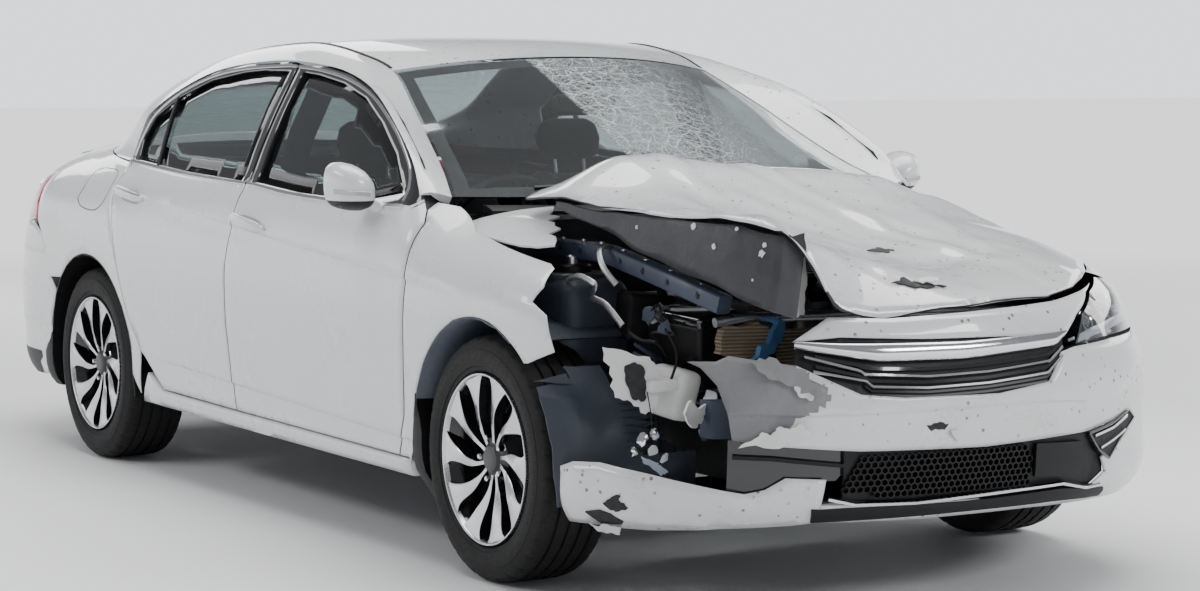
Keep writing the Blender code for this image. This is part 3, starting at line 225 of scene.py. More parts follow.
WHITE = paint("white_lacquer", 0.0)
WORN = paint("worn_lacquer", 1.0)
DENTED = paint("crash_lacquer", 1.35)
BLACK = plain("black_plastic", (0.004, 0.004, 0.0045), (0.011, 0.011, 0.012), 0.36, 0.55, 400,
    Specular_IOR_Level=0.28)
GLOSS = plain("gloss_black", (0.006, 0.006, 0.007), (0.012, 0.012, 0.013), 0.07, 0.13, 30, 0.02, Coat_Weight=1.0)
CHROME = plain("chrome", (0.7, 0.71, 0.73), (0.82, 0.83, 0.84), 0.07, 0.15, 40, 0.03, Metallic=1.0)
SATIN = plain("satin_metal", (0.44, 0.45, 0.47), (0.6, 0.61, 0.63), 0.26, 0.4, 90, 0.08, Metallic=1.0)
STEEL = plain("dusty_steel", (0.055, 0.058, 0.066), (0.13, 0.135, 0.145), 0.42, 0.66, 45, 0.3, Metallic=0.6)
BARE = plain("bare_metal", (0.3, 0.3, 0.31), (0.55, 0.55, 0.56), 0.28, 0.5, 70, 0.3, 0.001, Metallic=0.9)
SLATE = plain("slate_liner", (0.01, 0.015, 0.024), (0.075, 0.092, 0.12), 0.4, 0.66, 22, 0.7, 0.004)
NAVY = plain("navy_primer", (0.02, 0.03, 0.052), (0.055, 0.072, 0.11), 0.38, 0.6, 30, 0.3, 0.001)
RUBBER = plain("tyre_rubber", (0.006, 0.006, 0.0065), (0.016, 0.0155, 0.0155), 0.58, 0.8, 120, 0.3, 0.0008,
    Specular_IOR_Level=0.3)
TRIM = plain("cabin_trim", (0.005, 0.005, 0.006), (0.014, 0.014, 0.016), 0.5, 0.68, 500, 0.3, 0.0004,
    Specular_IOR_Level=0.25)
CAST = plain("cast_alloy", (0.12, 0.12, 0.125), (0.3, 0.3, 0.31), 0.4, 0.62, 60, 0.5, 0.0015, Metallic=0.85)
TAN = plain("tan_fins", (0.22, 0.17, 0.11), (0.42, 0.34, 0.24), 0.5, 0.7, 60, 0.4, 0.001, Metallic=0.4)
MATTE = plain("white_plastic", (0.6, 0.6, 0.59), (0.74, 0.74, 0.73), 0.42, 0.6, 50, 0.15, 0.0008)
UNDER = plain("bonnet_inside", (0.018, 0.019, 0.022), (0.085, 0.087, 0.093), 0.4, 0.62, 22, 0.8, 0.006, Metallic=0.2)
BLUE = plain("blue_bar", (0.03, 0.1, 0.22), (0.06, 0.17, 0.33), 0.35, 0.55, 60, 0.2, Metallic=0.3)


def machined():
    """Bright turned face of the wheels, with fine rings."""
    m = Nodes("machined_alloy", Metallic=1.0)
    m.colour(m.mix(m.noise(14.0, 3.0), (0.6, 0.61, 0.63), (0.74, 0.75, 0.77)))
    grain = m.noise(900.0, 2.0, where=m.place((0.05, 1, 1)))
    m.rough(m.span(grain, 0.3, 0.7, 0.2, 0.33))
    m.bump(grain, 0.06, 0.0004)
    return m.material


def glazing(name, tint, crazed=False):
    m = Nodes(name, Roughness=0.015, IOR=1.45, Coat_Weight=0.4)
    m.set(m.shader, Transmission_Weight=1.0)
    base = m.mix(m.noise(2.0, 2.0), tint, tuple(0.94 * part for part in tint))
    if crazed:
        where = m.place()
        split = m.add("SeparateXYZ", Vector=where)
        inside = m.span(split.outputs[0], CRACK_EDGE, CRACK_EDGE + 0.012, 0.0, 1.0)
        fade = m.span(split.outputs[0], 0.05, 0.42, 1.0, 0.0)
        webs = None
        for scale, width, share in ((19.0, 0.022, 1.0), (44.0, 0.034, 0.75), (90.0, 0.046, 0.5)):
            warp = m.add("TexNoise", Vector=where, Scale=scale * 0.5, Detail=3.0)
            moved = m.add("VectorMath", {"operation": "ADD"})
            shift = m.add("VectorMath", {"operation": "SCALE"})
            shift.inputs[0].default_value = (0, 0, 0)
            m.tree.links.new(warp.outputs[1], shift.inputs[0])
            shift.inputs["Scale"].default_value = 0.9 / scale
            m.tree.links.new(where, moved.inputs[0])
            m.tree.links.new(shift.outputs[0], moved.inputs[1])
            cell = m.voronoi(scale, "DISTANCE_TO_EDGE", moved.outputs[0])
            line = m.span(cell.outputs["Distance"], 0.0, width, share, 0.0)
            webs = line if webs is None else m.maths("MAXIMUM", webs, line)
        web = m.maths("MULTIPLY", m.maths("MULTIPLY", webs, inside), m.maths("POWER", fade, 0.8))
        base = m.mix(web, base, (0.6, 0.64, 0.67))
        m.rough(m.span(web, 0.0, 1.0, 0.015, 0.55))
        m.set(m.shader, Transmission_Weight=m.span(web, 0.0, 0.9, 1.0, 0.25))
        m.bump(web, 0.35, 0.0015)
    m.colour(base)
    m.material.surface_render_method = "DITHERED"
    return m.material


CRACK_EDGE = -0.165
ALLOY = machined()
GLASS = glazing("tinted_glass", (0.42, 0.5, 0.5))
SCREEN_GLASS = glazing("screen_glass", (0.8, 0.86, 0.86), True)
CLEAR = glazing("clear_lens", (0.95, 0.96, 0.97))
RED = Nodes("red_lens", Roughness=0.06, Coat_Weight=1.0)
RED.colour(RED.mix(RED.noise(30.0), (0.36, 0.004, 0.008), (0.56, 0.012, 0.016)))
RED.bump(RED.voronoi(160.0).outputs[0], 0.12, 0.002)
RED = RED.material


def cloth():
    """Woven seat cloth with a faint sheen."""
    m = Nodes("seat_cloth", Roughness=0.92)
    m.shader.inputs["Sheen Weight"].default_value = 0.35
    weave = m.add("TexWave", {"wave_type": "BANDS", "bands_direction": "X"}, Vector=m.place(), Scale=260.0,
        Distortion=1.2)
    other = m.add("TexWave", {"wave_type": "BANDS", "bands_direction": "Z"}, Vector=m.place(), Scale=260.0,
        Distortion=1.2)
    height = m.maths("MULTIPLY", weave.outputs[1], other.outputs[1])
    m.colour(m.mix(height, (0.012, 0.012, 0.014), (0.05, 0.05, 0.055)))
    m.bump(height, 0.4, 0.0008)
    return m.material


CLOTH = cloth()


def floor_material():
    m = Nodes("pale_floor", Roughness=0.6)
    m.colour(m.mix(m.noise(0.8, 3.0), (0.86, 0.865, 0.87), (0.9, 0.905, 0.91)))
    m.bump(m.noise(30.0), 0.02, 0.001)
    away = m.add("VectorMath", {"operation": "LENGTH"}, _0=m.place()).outputs["Value"]
    m.set(m.shader, Emission_Color=(1.0, 1.0, 1.0), Emission_Strength=m.span(away, 3.5, 12.0, 0.0, 1.15))
    return m.material


# ---------------------------------------------------------------- the body's surfaces

# height, half width of the body's flank
SIDE = [(0.18, 0.845), (0.235, 0.893), (0.29, 0.909), (0.42, 0.912), (0.6, 0.922), (0.72, 0.9245), (0.8, 0.92),
    (0.88, 0.908), (0.94, 0.893), (0.98, 0.876), (1.015, 0.852), (1.1, 0.822), (1.2, 0.782), (1.28, 0.743),
    (1.34, 0.712), (1.37, 0.698)]
# height, tip of the nose, where the plan starts to round, its power
NOSE = [(0.18, -2.33, -1.62, 2.4), (0.28, -2.42, -1.65, 2.5), (0.4, -2.44, -1.65, 2.45), (0.55, -2.4435, -1.65, 2.4),
    (0.67, -2.42, -1.6, 2.2), (0.79, -2.37, -1.52, 2.1), (0.9, -2.28, -1.4, 2.0), (1.0, -2.2, -1.3, 2.0)]
# height, end of the tail, where the plan starts to round, its power
TAIL = [(0.18, 2.3, 1.6, 2.6), (0.25, 2.4, 1.7, 2.7), (0.33, 2.43, 1.75, 2.8), (0.53, 2.4435, 1.75, 2.8), (0.75, 2.41,
    1.72, 2.6), (0.95, 2.36, 1.62, 2.4), (1.05, 2.34, 1.55, 2.3)]
# station along the car, height of the bonnet's crown
HOOD = [(-2.44, 0.7), (-2.36, 0.765), (-2.2, 0.835), (-2.0, 0.885), (-1.78, 0.928), (-1.5, 0.97), (-1.22, 1.002),
    (-1.0, 1.02)]
# station along the car, height of the deck's crown
DECK = [(1.0, 1.13), (1.6, 1.108), (1.8, 1.1), (2.1, 1.086), (2.3, 1.07), (2.44, 1.045)]
FRONT_SHOULDER = 0.7
REAR_SHOULDER = 0.8
SHOULDER_POWER = 3.0
NOSE_CENTRE = -1.45
TAIL_CENTRE = 1.45

# window line and upper rail of one flank: D out, along, up, then E out, along, up
RAIL = [(0.838, -0.995, 1.004, 0.76, -1.035, 0.998), (0.812, -0.897, 1.1, 0.7, -0.87, 1.065), (0.777, -0.717, 1.203,
    0.655, -0.7, 1.146), (0.738, -0.518, 1.286, 0.61, -0.51, 1.242), (0.712, -0.317, 1.334, 0.56, -0.29, 1.341),
    (0.702, -0.113, 1.359, 0.575, -0.1, 1.392), (0.697, 0.154, 1.371, 0.585, 0.15, 1.424), (0.7, 0.446, 1.361, 0.585,
    0.45, 1.418), (0.711, 0.695, 1.333, 0.575, 0.72, 1.398), (0.736, 0.912, 1.275, 0.56, 0.99, 1.362), (0.766, 1.075,
    1.204, 0.6, 1.2, 1.3), (0.786, 1.115, 1.152, 0.635, 1.5, 1.18)]
RAIL_BULGE = 0.02
RAIL_STEPS = 5
RAIL_LEAN = 0.45
# station along the car, height: the foot of the rear roof pillar
PILLAR_FOOT = [(1.125, 1.028), (1.3, 1.04), (1.47, 1.052), (1.64, 1.066), (1.77, 1.078)]
# row of the rail, then the middle of the sheet there: along, up
SCREEN = [(0, -1.245, 0.995), (1, -1.02, 1.098), (2, -0.81, 1.2), (3, -0.6, 1.298), (4, -0.4, 1.385)]
ROOF = [(4, -0.4, 1.386), (5, -0.12, 1.43), (6, 0.15, 1.446), (7, 0.45, 1.447), (8, 0.74, 1.43), (9, 1.02, 1.396)]
BACKLIGHT = [(9, 1.025, 1.394), (10, 1.24, 1.325), (11, 1.54, 1.215), (12, 1.83, 1.104)]
SHEET_POWER = 2.2
EDGE_GAP = 0.0008
WINDOW_GAP = 0.0042
TRACK = 1.585
WHEELBASE = 2.776
FRONT_AXLE = -1.4635
REAR_AXLE = FRONT_AXLE + WHEELBASE
TYRE_RADIUS = 0.3285
TYRE_WIDTH = 0.225
RIM_RADIUS = 0.2285
RIM_WIDTH = 0.215
STEERING_CENTRE = (-0.365, -0.6, 0.86)
STEERING_TILT = 25
# ahead of this station the steered front tyres have no reach
STEER_CLEAR = -1.795
ARCH_CLEARANCE = 0.05
SHEET = 0.0025
RAIL_DEPTH = 0.022
GLASS_WALL = 0.004
LID_FRONT = 1.872
LID_REAR_TOP = 2.3
LID_FOOT = 0.772
LID_HALF = 0.6
LID_TAPER = 0.07
LID_WALL = 0.03
FRONT_WINDOW = [(-0.9, 1.005), (-0.79, 1.11), (-0.64, 1.197), (-0.48, 1.264), (-0.3, 1.305), (-0.11, 1.328),
    (0.01, 1.336), (0.022, 1.18), (0.04, 1.0), (-0.285, 0.982), (-0.7, 0.975)]
REAR_WINDOW = [(0.11, 1.338), (0.3, 1.34), (0.446, 1.332), (0.68, 1.304), (0.88, 1.25), (1.03, 1.18), (1.07, 1.11),
    (1.06, 1.035), (0.6, 1.012), (0.15, 1.0), (0.128, 1.18)]
LIFT_PLACES = (-0.72, -0.5, -0.44, -0.37, 0.0, 0.3, 0.55, 0.8)
LIFT = [(-2.35, 0.2, 0.2, 0.12, 0.0, 0.0, 0.0, 0.0, 0.0), (-2.15, 0.2, 0.175, 0.15, 0.09, -0.01, -0.015, 0.0, 0.0),
    (-1.9, 0.145, 0.1, 0.085, 0.055, -0.01, -0.01, 0.0, 0.0), (-1.65, 0.085, 0.11, 0.105, 0.095, 0.055, 0.035, 0.01,
    0.0), (-1.47, 0.05, 0.155, 0.155, 0.15, 0.105, 0.085, 0.045, 0.0), (-1.25, 0.035, 0.07, 0.08, 0.085, 0.07, 0.055,
    0.02, 0.0)]
LAMP = [(19.5, 0.652), (24.0, 0.722), (32.5, 0.77), (43.0, 0.795), (50.0, 0.785), (57.0, 0.74), (62.0, 0.672),
    (45.0, 0.664), (30.0, 0.662)]


def smooth(rows, place, column=1):
    """Cubic through a column of the rows, flat beyond their ends."""
    if place <= rows[0][0]:
        return rows[0][column]
    if place >= rows[-1][0]:
        return rows[-1][column]
    low = max(k for k in range(len(rows) - 1) if rows[k][0] <= place)
    start, first = rows[low][0], rows[low][column]
    end, last = rows[low + 1][0], rows[low + 1][column]

    def slope(k):
        before, after = max(k - 1, 0), min(k + 1, len(rows) - 1)
        return (rows[after][column] - rows[before][column]) / (rows[after][0] - rows[before][0])

    span = end - start
    t = (place - start) / span
    return ((2 * t ** 3 - 3 * t * t + 1) * first + (t ** 3 - 2 * t * t + t) * span * slope(low) + (3 * t * t - 2 *
        t ** 3) * last + (t ** 3 - t * t) * span * slope(low + 1))


def ramp(start, end, value):
    t = min(max((value - start) / (end - start), 0.0), 1.0)
    return t * t * (3 - 2 * t)


@functools.lru_cache(maxsize=500000)
def rounding(front, z):
    rows = NOSE if front else TAIL
    return tuple(smooth(rows, z, column) for column in (1, 2, 3))


@functools.lru_cache(maxsize=500000)
def side_at(z):
    return smooth(SIDE, z)


def plan(y, z):
    """Share of the half width that is left where the nose or tail rounds off."""
    tip, start, power = rounding(y < 0, z)
    t = (y - start) / (tip - start)
    if t <= 0:
        return 1.0
    return (1 - min(t, 1.0) ** power) ** (1 / power)


def shoulder(z, start, top):
    k = min(max((z - start) / max(top - start, 0.01), 0.0), 1.0)
    return side_at(min(z, start)) * (1 - k ** SHOULDER_POWER) ** (1 / SHOULDER_POWER)


def half_width(y, z):
    narrowing = 1 - 0.025 * ramp(0.85, 1.05, z) * ((y - 0.1) / 1.1) ** 2
    width = side_at(z) * narrowing
    if y < -0.95:
        share = ramp(-0.95, -1.3, y)
        width = width * (1 - share) + shoulder(z, FRONT_SHOULDER, smooth(HOOD, y)) * share
    if y > 1.15:
        share = ramp(1.15, 1.75, y)
        width = width * (1 - share) + shoulder(z, REAR_SHOULDER, smooth(DECK, y)) * share
    return width * plan(y, z)


def crown(x, y, start, top):
    """Height of the bonnet or deck above a spot in plan."""
    z = top
    for _ in range(4):
        width = side_at(start) * plan(y, z)
        z = start + (top - start) * max(1 - (abs(x) / width) ** SHOULDER_POWER, 0.0) ** (1 / SHOULDER_POWER)
    return z


def around(centre, forward):
    """Place on the nose or tail from the angle off the car's middle and the height."""
    def place(angle, z):
        turn = math.radians(angle)
        low, high = 0.0, 1.4
        for _ in range(24):
            reach = (low + high) / 2
            if reach * abs(math.sin(turn)) < half_width(centre + forward * reach * math.cos(turn), z):
                low = reach
            else:
                high = reach
        return Vector((low * math.sin(turn), centre + forward * low * math.cos(turn), z))
    return place


nose = around(NOSE_CENTRE, -1)
tail = around(TAIL_CENTRE, 1)


def bonnet_skin(x, y):
    z = crown(x, y, FRONT_SHOULDER, smooth(HOOD, y))
    across = [(out, smooth(LIFT, y, index + 1)) for index, out in enumerate(LIFT_PLACES)]
    return Vector((x, y, z + smooth(across, x)))


def normal_at(place, u, v, step_u, step_v):
    du = place(u + step_u, v) - place(u - step_u, v)
    dv = place(u, v + step_v) - place(u, v - step_v)
    return du.cross(dv).normalized()


def rail_point(row, column):
    """A column of the rail at a whole or part row; the last row stands on the foot of the rear pillar."""
    foot = (half_width(*PILLAR_FOOT[0]), *PILLAR_FOOT[0], half_width(*PILLAR_FOOT[-1]), *PILLAR_FOOT[-1])
    rows = [(index, *values) for index, values in enumerate(RAIL + [foot])]
    return smooth(rows, row, column + 1)


def spanning(middle):
    """Surface between the two upper rails: u runs across from -1 to 1, v along the table from 0 to 1."""
    keyed = [(index / (len(middle) - 1), *values) for index, values in enumerate(middle)]

    def place(u, v):
        row, mid_y, mid_z = (smooth(keyed, v, column) for column in (1, 2, 3))
        out, edge_y, edge_z = (rail_point(row, column) for column in (3, 4, 5))
        share = abs(u) ** SHEET_POWER
        return Vector((u * out, mid_y + (edge_y - mid_y) * share, mid_z + (edge_z - mid_z) * share))
    return place


def rail_ring(row, side):
    """Section of the upper rail: outer face from the window line to the sheet's edge, then back inside."""
    low = Vector([rail_point(row, column) for column in (0, 1, 2)])
    high = Vector([rail_point(row, column) for column in (3, 4, 5)])
    table = SCREEN if row < 4 else ROOF if row < 9 else BACKLIGHT
    share = (row - table[0][0]) / (table[-1][0] - table[0][0])
    share = min(max(share, 0.02), 0.98)
    sheet = spanning(table)
    beside = normal_at(sheet, 0.985, share, 1e-4, 1e-4)
    if beside.dot(Vector((0, 0.3, 0.6)) - high) < 0:
        beside = -beside
    beside = (beside + Vector((RAIL_LEAN, 0, 0))).normalized()
    outer, inner = [], []
    foot = ramp(11, 12, row)
    for k in range(RAIL_STEPS):
        t = k / (RAIL_STEPS - 1)
        spot = low.lerp(high, t)
        spot += Vector((0.8, 0, 0.6)) * RAIL_BULGE * math.sin(math.pi * t)
        y, z = PILLAR_FOOT[k]
        spot = spot.lerp(Vector((half_width(y, z), y, z + EDGE_GAP)), foot)
        inward = Vector((-1, 0, 0)).lerp(beside, t).normalized()
        outer.append(spot)
        inner.append(spot + inward * RAIL_DEPTH)
    ring = outer + inner[::-1]
    return [Vector((side * point.x, point.y, point.z)) for point in ring]


def lid_skin(x, v):
    """Boot lid: along the deck for the first part of v, then down the tail."""
    front = LID_FRONT - 0.006 * (abs(x) / LID_HALF) ** 2

    def back(z):
        low, high = 1.6, 2.44
        for _ in range(40):
            y = (low + high) / 2
            if half_width(y, z) > abs(x):
                low = y
            else:
                high = y
        return low

    turn = LID_REAR_TOP - 0.06 * (abs(x) / LID_HALF) ** 2
    if v < 0.5:
        y = front + (turn - front) * v / 0.5
        return Vector((x, y, crown(x, y, REAR_SHOULDER, smooth(DECK, y))))
    low_z = 0.99
    if v > 0.65:
        z = low_z + (LID_FOOT - low_z) * (v - 0.65) / 0.35
        return Vector((x, back(z), z))
    first = Vector((x, turn, crown(x, turn, REAR_SHOULDER, smooth(DECK, turn))))
    last = Vector((x, back(low_z), low_z))
    bend = Vector((x, max(last.y, first.y + 0.03) + 0.004, first.z - 0.008))
    t = (v - 0.5) / 0.15
    return first * (1 - t) ** 2 + bend * 2 * t * (1 - t) + last * t * t




# ---------------------------------------------------------------- making and placing pieces
def put(bm, name, looks, body="shell", sharp=38.0, stands_for=(), merge=True):
    """Turn a bmesh into a piece that rides on a body."""
    if merge:
        bmesh.ops.remove_doubles(bm, verts=bm.verts, dist=1e-5)
    bmesh.ops.dissolve_degenerate(bm, edges=bm.edges, dist=1e-6)
    mesh = bpy.data.meshes.new(name)
    bm.to_mesh(mesh)
    bm.free()
    mesh.polygons.foreach_set("use_smooth", [True] * len(mesh.polygons))
    mesh.set_sharp_from_angle(angle=math.radians(sharp))
    for look in looks if isinstance(looks, (list, tuple)) else [looks]:
        mesh.materials.append(look)
    piece = bpy.data.objects.new(name, mesh)
    scene.collection.objects.link(piece)
    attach(piece, body)
    if stands_for:
        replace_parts(piece, *([stands_for] if isinstance(stands_for, str) else stands_for))
    return piece


def outward(bm):
    bmesh.ops.recalc_face_normals(bm, faces=bm.faces)
    if bm.calc_volume(signed=True) < 0:
        bmesh.ops.reverse_faces(bm, faces=bm.faces)


def turns(count):
    """Angles of a full turn in equal steps."""
    return [2 * math.pi * k / count for k in range(count)]


def rings_into(bm, rings, closed=False, caps=True, material=0):
    """Skin a list of equal rings of points."""
    rows = [[bm.verts.new(point) for point in ring] for ring in rings]
    count = len(rows[0])
    faces = []
    for k in range(len(rows) if closed else len(rows) - 1):
        a, b = rows[k], rows[(k + 1) % len(rows)]
        for i in range(count):
            j = (i + 1) % count
            faces.append(bm.faces.new((a[i], a[j], b[j], b[i])))
    if caps and not closed:
        faces.append(bm.faces.new(rows[0][::-1]))
        faces.append(bm.faces.new(rows[-1]))
    for face in faces:
        face.material_index = material
    return faces


def loft(name, rings, look, body="shell", closed=False, sharp=38.0, stands_for=()):
    bm = bmesh.new()
    rings_into(bm, rings, closed)
    outward(bm)
    return put(bm, name, look, body, sharp, stands_for, merge=False)


def frame_of(tangent, up):
    side = tangent.cross(up).normalized()
    return side, side.cross(tangent).normalized()


def dense(points, gap):
    """Points along a smooth curve through the given ones."""
    points = [Vector(p) for p in points]
    out = []
    for k in range(len(points) - 1):
        before = points[max(k - 1, 0)]
        a, b = points[k], points[k + 1]
        after = points[min(k + 2, len(points) - 1)]
        count = max(int((b - a).length / gap), 1)
        for i in range(count):
            t = i / count
            out.append(0.5 * (2 * a + (b - before) * t + (2 * before - 5 * a + 4 * b - after) * t * t +
                (3 * a - before - 3 * b + after) * t ** 3))
    return out + [points[-1]]


def sweep_rings(path, ups, section):
    """Rings of a section (across, up) carried along a path."""
    rings = []
    for k, point in enumerate(path):
        tangent = (path[min(k + 1, len(path) - 1)] - path[max(k - 1, 0)]).normalized()
        up = ups[k] if isinstance(ups, list) else ups
        side, top = frame_of(tangent, up)
        rings.append([point + side * a + top * b for a, b in section])
    return rings


def strip_section(width, height, sink=0.001):
    half = width / 2
    return [(-half, -sink), (-half, height * 0.45), (-half * 0.72, height), (half * 0.72, height),
        (half, height * 0.45), (half, -sink)]


def strip(name, points, up, width, height, look, body="shell", gap=0.03, sink=0.001):
    path = dense(points, gap)
    ups = [up(p) for p in path] if callable(up) else Vector(up)
    return loft(name, sweep_rings(path, ups, strip_section(width, height, sink)), look, body, sharp=50)


def tube(name, points, radius, look, body="shell", gap=0.02, sides=10):
    path = dense(points, gap)
    section = [(radius * math.cos(2 * math.pi * k / sides), radius * math.sin(2 * math.pi * k / sides))
        for k in range(sides)]
    rings = []
    up = Vector((0.13, 0.21, 1)).normalized()
    for k, point in enumerate(path):
        tangent = (path[min(k + 1, len(path) - 1)] - path[max(k - 1, 0)]).normalized()
        if abs(tangent.dot(up)) > 0.93:
            up = Vector((1, 0.2, 0.1)).normalized()
        side = tangent.cross(up).normalized()
        top = side.cross(tangent).normalized()
        up = top
        rings.append([point + side * a + top * b for a, b in section])
    return loft(name, rings, look, body)


def rounded_box(name, low, high, radius, look, body="shell", turn=None, segments=3):
    """Box with rounded edges, turned about its middle."""
    bm = bmesh.new()
    low, high = Vector(low), Vector(high)
    bmesh.ops.create_cube(bm, size=1.0)
    size = high - low
    bmesh.ops.scale(bm, vec=size, verts=bm.verts)
    bmesh.ops.bevel(bm, geom=bm.edges, offset=radius, segments=segments, profile=0.5, affect="EDGES")
    if turn is not None:
        bmesh.ops.rotate(bm, cent=(0, 0, 0), matrix=mathutils.Euler([math.radians(a) for a in turn]).to_matrix(),
            verts=bm.verts)
    bmesh.ops.translate(bm, vec=(low + high) / 2, verts=bm.verts)
    return put(bm, name, look, body, merge=False)


def turned_rings(profile, centre, steps, side=1.0, ripple=None):
    """Profile of (along x, radius) turned about a wheel's axis."""
    rings = []
    for k in range(steps):
        angle = 2 * math.pi * k / steps
        ring = []
        for index, (along, radius) in enumerate(profile):
            if ripple:
                radius += ripple(k, index)
            ring.append(Vector((centre[0] + side * along, centre[1] + radius * math.cos(angle),
                centre[2] + radius * math.sin(angle))))
        rings.append(ring)
    return rings


# ---------------------------------------------------------------- smooth skins over the CAD panels
CREASES = [((0.609, 0.904), (-1.065, 0.78), 0.0085, 0.06), ((0.763, 0.4), (-0.993, 0.34), 0.0085, 0.055)]


def crease(y, z):
    """Pressed line along the flank: the metal steps in below it and comes back out."""
    lift = 0.0
    for (y0, z0), (y1, z1), depth, reach in CREASES:
        t = (y - y0) / (y1 - y0)
        fade = ramp(-0.16, 0.22, t) * (1 - ramp(0.97, 1.22, t))
        below = (z0 + (z1 - z0) * t) - z
        if below > 0 and fade > 0:
            lift -= depth * fade * (1 - math.exp(-below / 0.006)) * math.exp(-below / reach)
    return lift


class Flank:
    def __init__(self, side):
        self.side = side

    def depth(self, p):
        return half_width(p.y, p.z) - self.side * p.x

    def place(self, p, depth):
        share = 1.0 - ramp(0.004, 0.02, depth)
        return Vector((self.side * (half_width(p.y, p.z) + crease(p.y, p.z) * share - depth), p.y, p.z))


class Round:
    def __init__(self, centre, forward, shape=None):
        self.centre, self.forward, self.shape = centre, forward, shape

    def reach(self, turn, z):
        low, high = 0.0, 1.4
        for _ in range(22):
            middle = (low + high) / 2
            if middle * abs(math.sin(turn)) < half_width(self.centre + self.forward * middle * math.cos(turn), z):
                low = middle
            else:
                high = middle
        return low

    def depth(self, p):
        turn = math.atan2(p.x, self.forward * (p.y - self.centre))
        return self.reach(turn, p.z) - math.hypot(p.x, p.y - self.centre)

    def place(self, p, depth):
        turn = math.atan2(p.x, self.forward * (p.y - self.centre))
        reach = self.reach(turn, p.z) - depth
        if self.shape:
            reach += self.shape(math.degrees(turn), p.z) * (1.0 - ramp(0.006, 0.03, depth))
        return Vector((reach * math.sin(turn), self.centre + self.forward * reach * math.cos(turn), p.z))


class Top:
    """Skin given as a height above each spot in plan."""

    def __init__(self, height):
        self.height = height

    def depth(self, p):
        return self.height(p.x, p.y) - p.z

    def place(self, p, depth):
        return Vector((p.x, p.y, self.height(p.x, p.y) - depth))


def slices_along(points, offsets=(-0.01, -0.0035, 0.0)):
    """Cutting planes beside a line given as (y, z) pairs."""
    (y0, z0), (y1, z1) = points
    across = Vector((0, -(z1 - z0), y1 - y0)).normalized()
    if across.z < 0:
        across = -across
    return [(Vector((0, y0, z0)) + across * k, across) for k in offsets]


def refine(node, skin, cuts=3, slices=(), arches=(), paint_rule=None):
    """Fine copy of a CAD panel, laid back on its smooth surface."""
    bm = bmesh.new()
    bm.from_mesh(NODES[node].data)
    bmesh.ops.remove_doubles(bm, verts=bm.verts, dist=2e-5)
    layer = bm.verts.layers.float.new("depth")
    for v in bm.verts:
        v[layer] = skin.depth(v.co)
    for spot, normal in slices:
        bmesh.ops.bisect_plane(bm, geom=bm.verts[:] + bm.edges[:] + bm.faces[:], plane_co=spot, plane_no=normal,
            dist=1e-5)
    bmesh.ops.triangulate(bm, faces=bm.faces[:])
    if cuts:
        bmesh.ops.subdivide_edges(bm, edges=bm.edges[:], cuts=cuts, use_grid_fill=True)
        bmesh.ops.triangulate(bm, faces=[f for f in bm.faces if len(f.verts) > 3])
    for v in bm.verts:
        depth = v[layer]
        depth = 0.0 if abs(depth) < 0.0008 else depth
        for axle, radius in arches:
            reach = math.hypot(v.co.y - axle, v.co.z - TYRE_RADIUS)
            if abs(reach - radius) < 0.0035 and v.co.z > 0.3:
                v.co.y = axle + (v.co.y - axle) * radius / reach
                v.co.z = TYRE_RADIUS + (v.co.z - TYRE_RADIUS) * radius / reach
        v.co = skin.place(v.co, depth)
    if paint_rule:
        for face in bm.faces:
            face.material_index = paint_rule(face.calc_center_median(), face.normal)
    return bm


def slab(place, us, vs, depth, core, inlay=0.0):
    """Plate over a grid of u and v on a surface."""
    bm = bmesh.new()
    core = Vector(core)
    tops, lows = [], []
    for v in vs:
        top, low = [], []
        for u in us(v):
            spot = place(u, v)
            normal = normal_at(place, u * 0.999, min(max(v, 0.002), 0.998), 1e-4, 1e-4)
            if normal.dot(spot - core) < 0:
                normal = -normal
            top.append(bm.verts.new(spot - normal * inlay))
            low.append(bm.verts.new(spot - normal * (inlay + depth)))
        tops.append(top)
        lows.append(low)
    for k in range(len(vs) - 1):
        for i in range(len(tops[0]) - 1):
            for rows, flip in ((tops, False), (lows, True)):
                quad = (rows[k][i], rows[k][i + 1], rows[k + 1][i + 1], rows[k + 1][i])
                bm.faces.new(quad[::-1] if flip else quad)
    rim = tops[0] + [row[-1] for row in tops[1:]] + tops[-1][-2::-1] + [row[0] for row in tops[-2:0:-1]]
    rim_low = lows[0] + [row[-1] for row in lows[1:]] + lows[-1][-2::-1] + [row[0] for row in lows[-2:0:-1]]
    for k in range(len(rim)):
        j = (k + 1) % len(rim)
        bm.faces.new((rim[k], rim_low[k], rim_low[j], rim[j]))
    outward(bm)
    return bm


def steps(count, low=0.0, high=1.0):
    return [low + (high - low) * k / count for k in range(count + 1)]


# ---------------------------------------------------------------- bodywork
ARCH = TYRE_RADIUS + ARCH_CLEARANCE
BELT = [(-0.95, 0.976), (-0.7, 0.972), (-0.285, 0.979), (0.04, 0.996), (0.15, 0.998), (0.6, 1.009), (1.06, 1.031),
    (1.13, 1.035)]
FLANK_SLICES = slices_along(CREASES[0][:2]) + slices_along(CREASES[1][:2])


def belt(y):
    return smooth(BELT, y)


def door_paint(where, normal):
    if normal.x * where.x < 0.05 * abs(where.x):
        return 2
    return 1 if where.z > belt(where.y) + 0.002 or abs(normal.x) < 0.4 else 0


def panel_paint(where, normal):
    return 1 if normal.x * where.x < -0.15 * abs(where.x) else 0


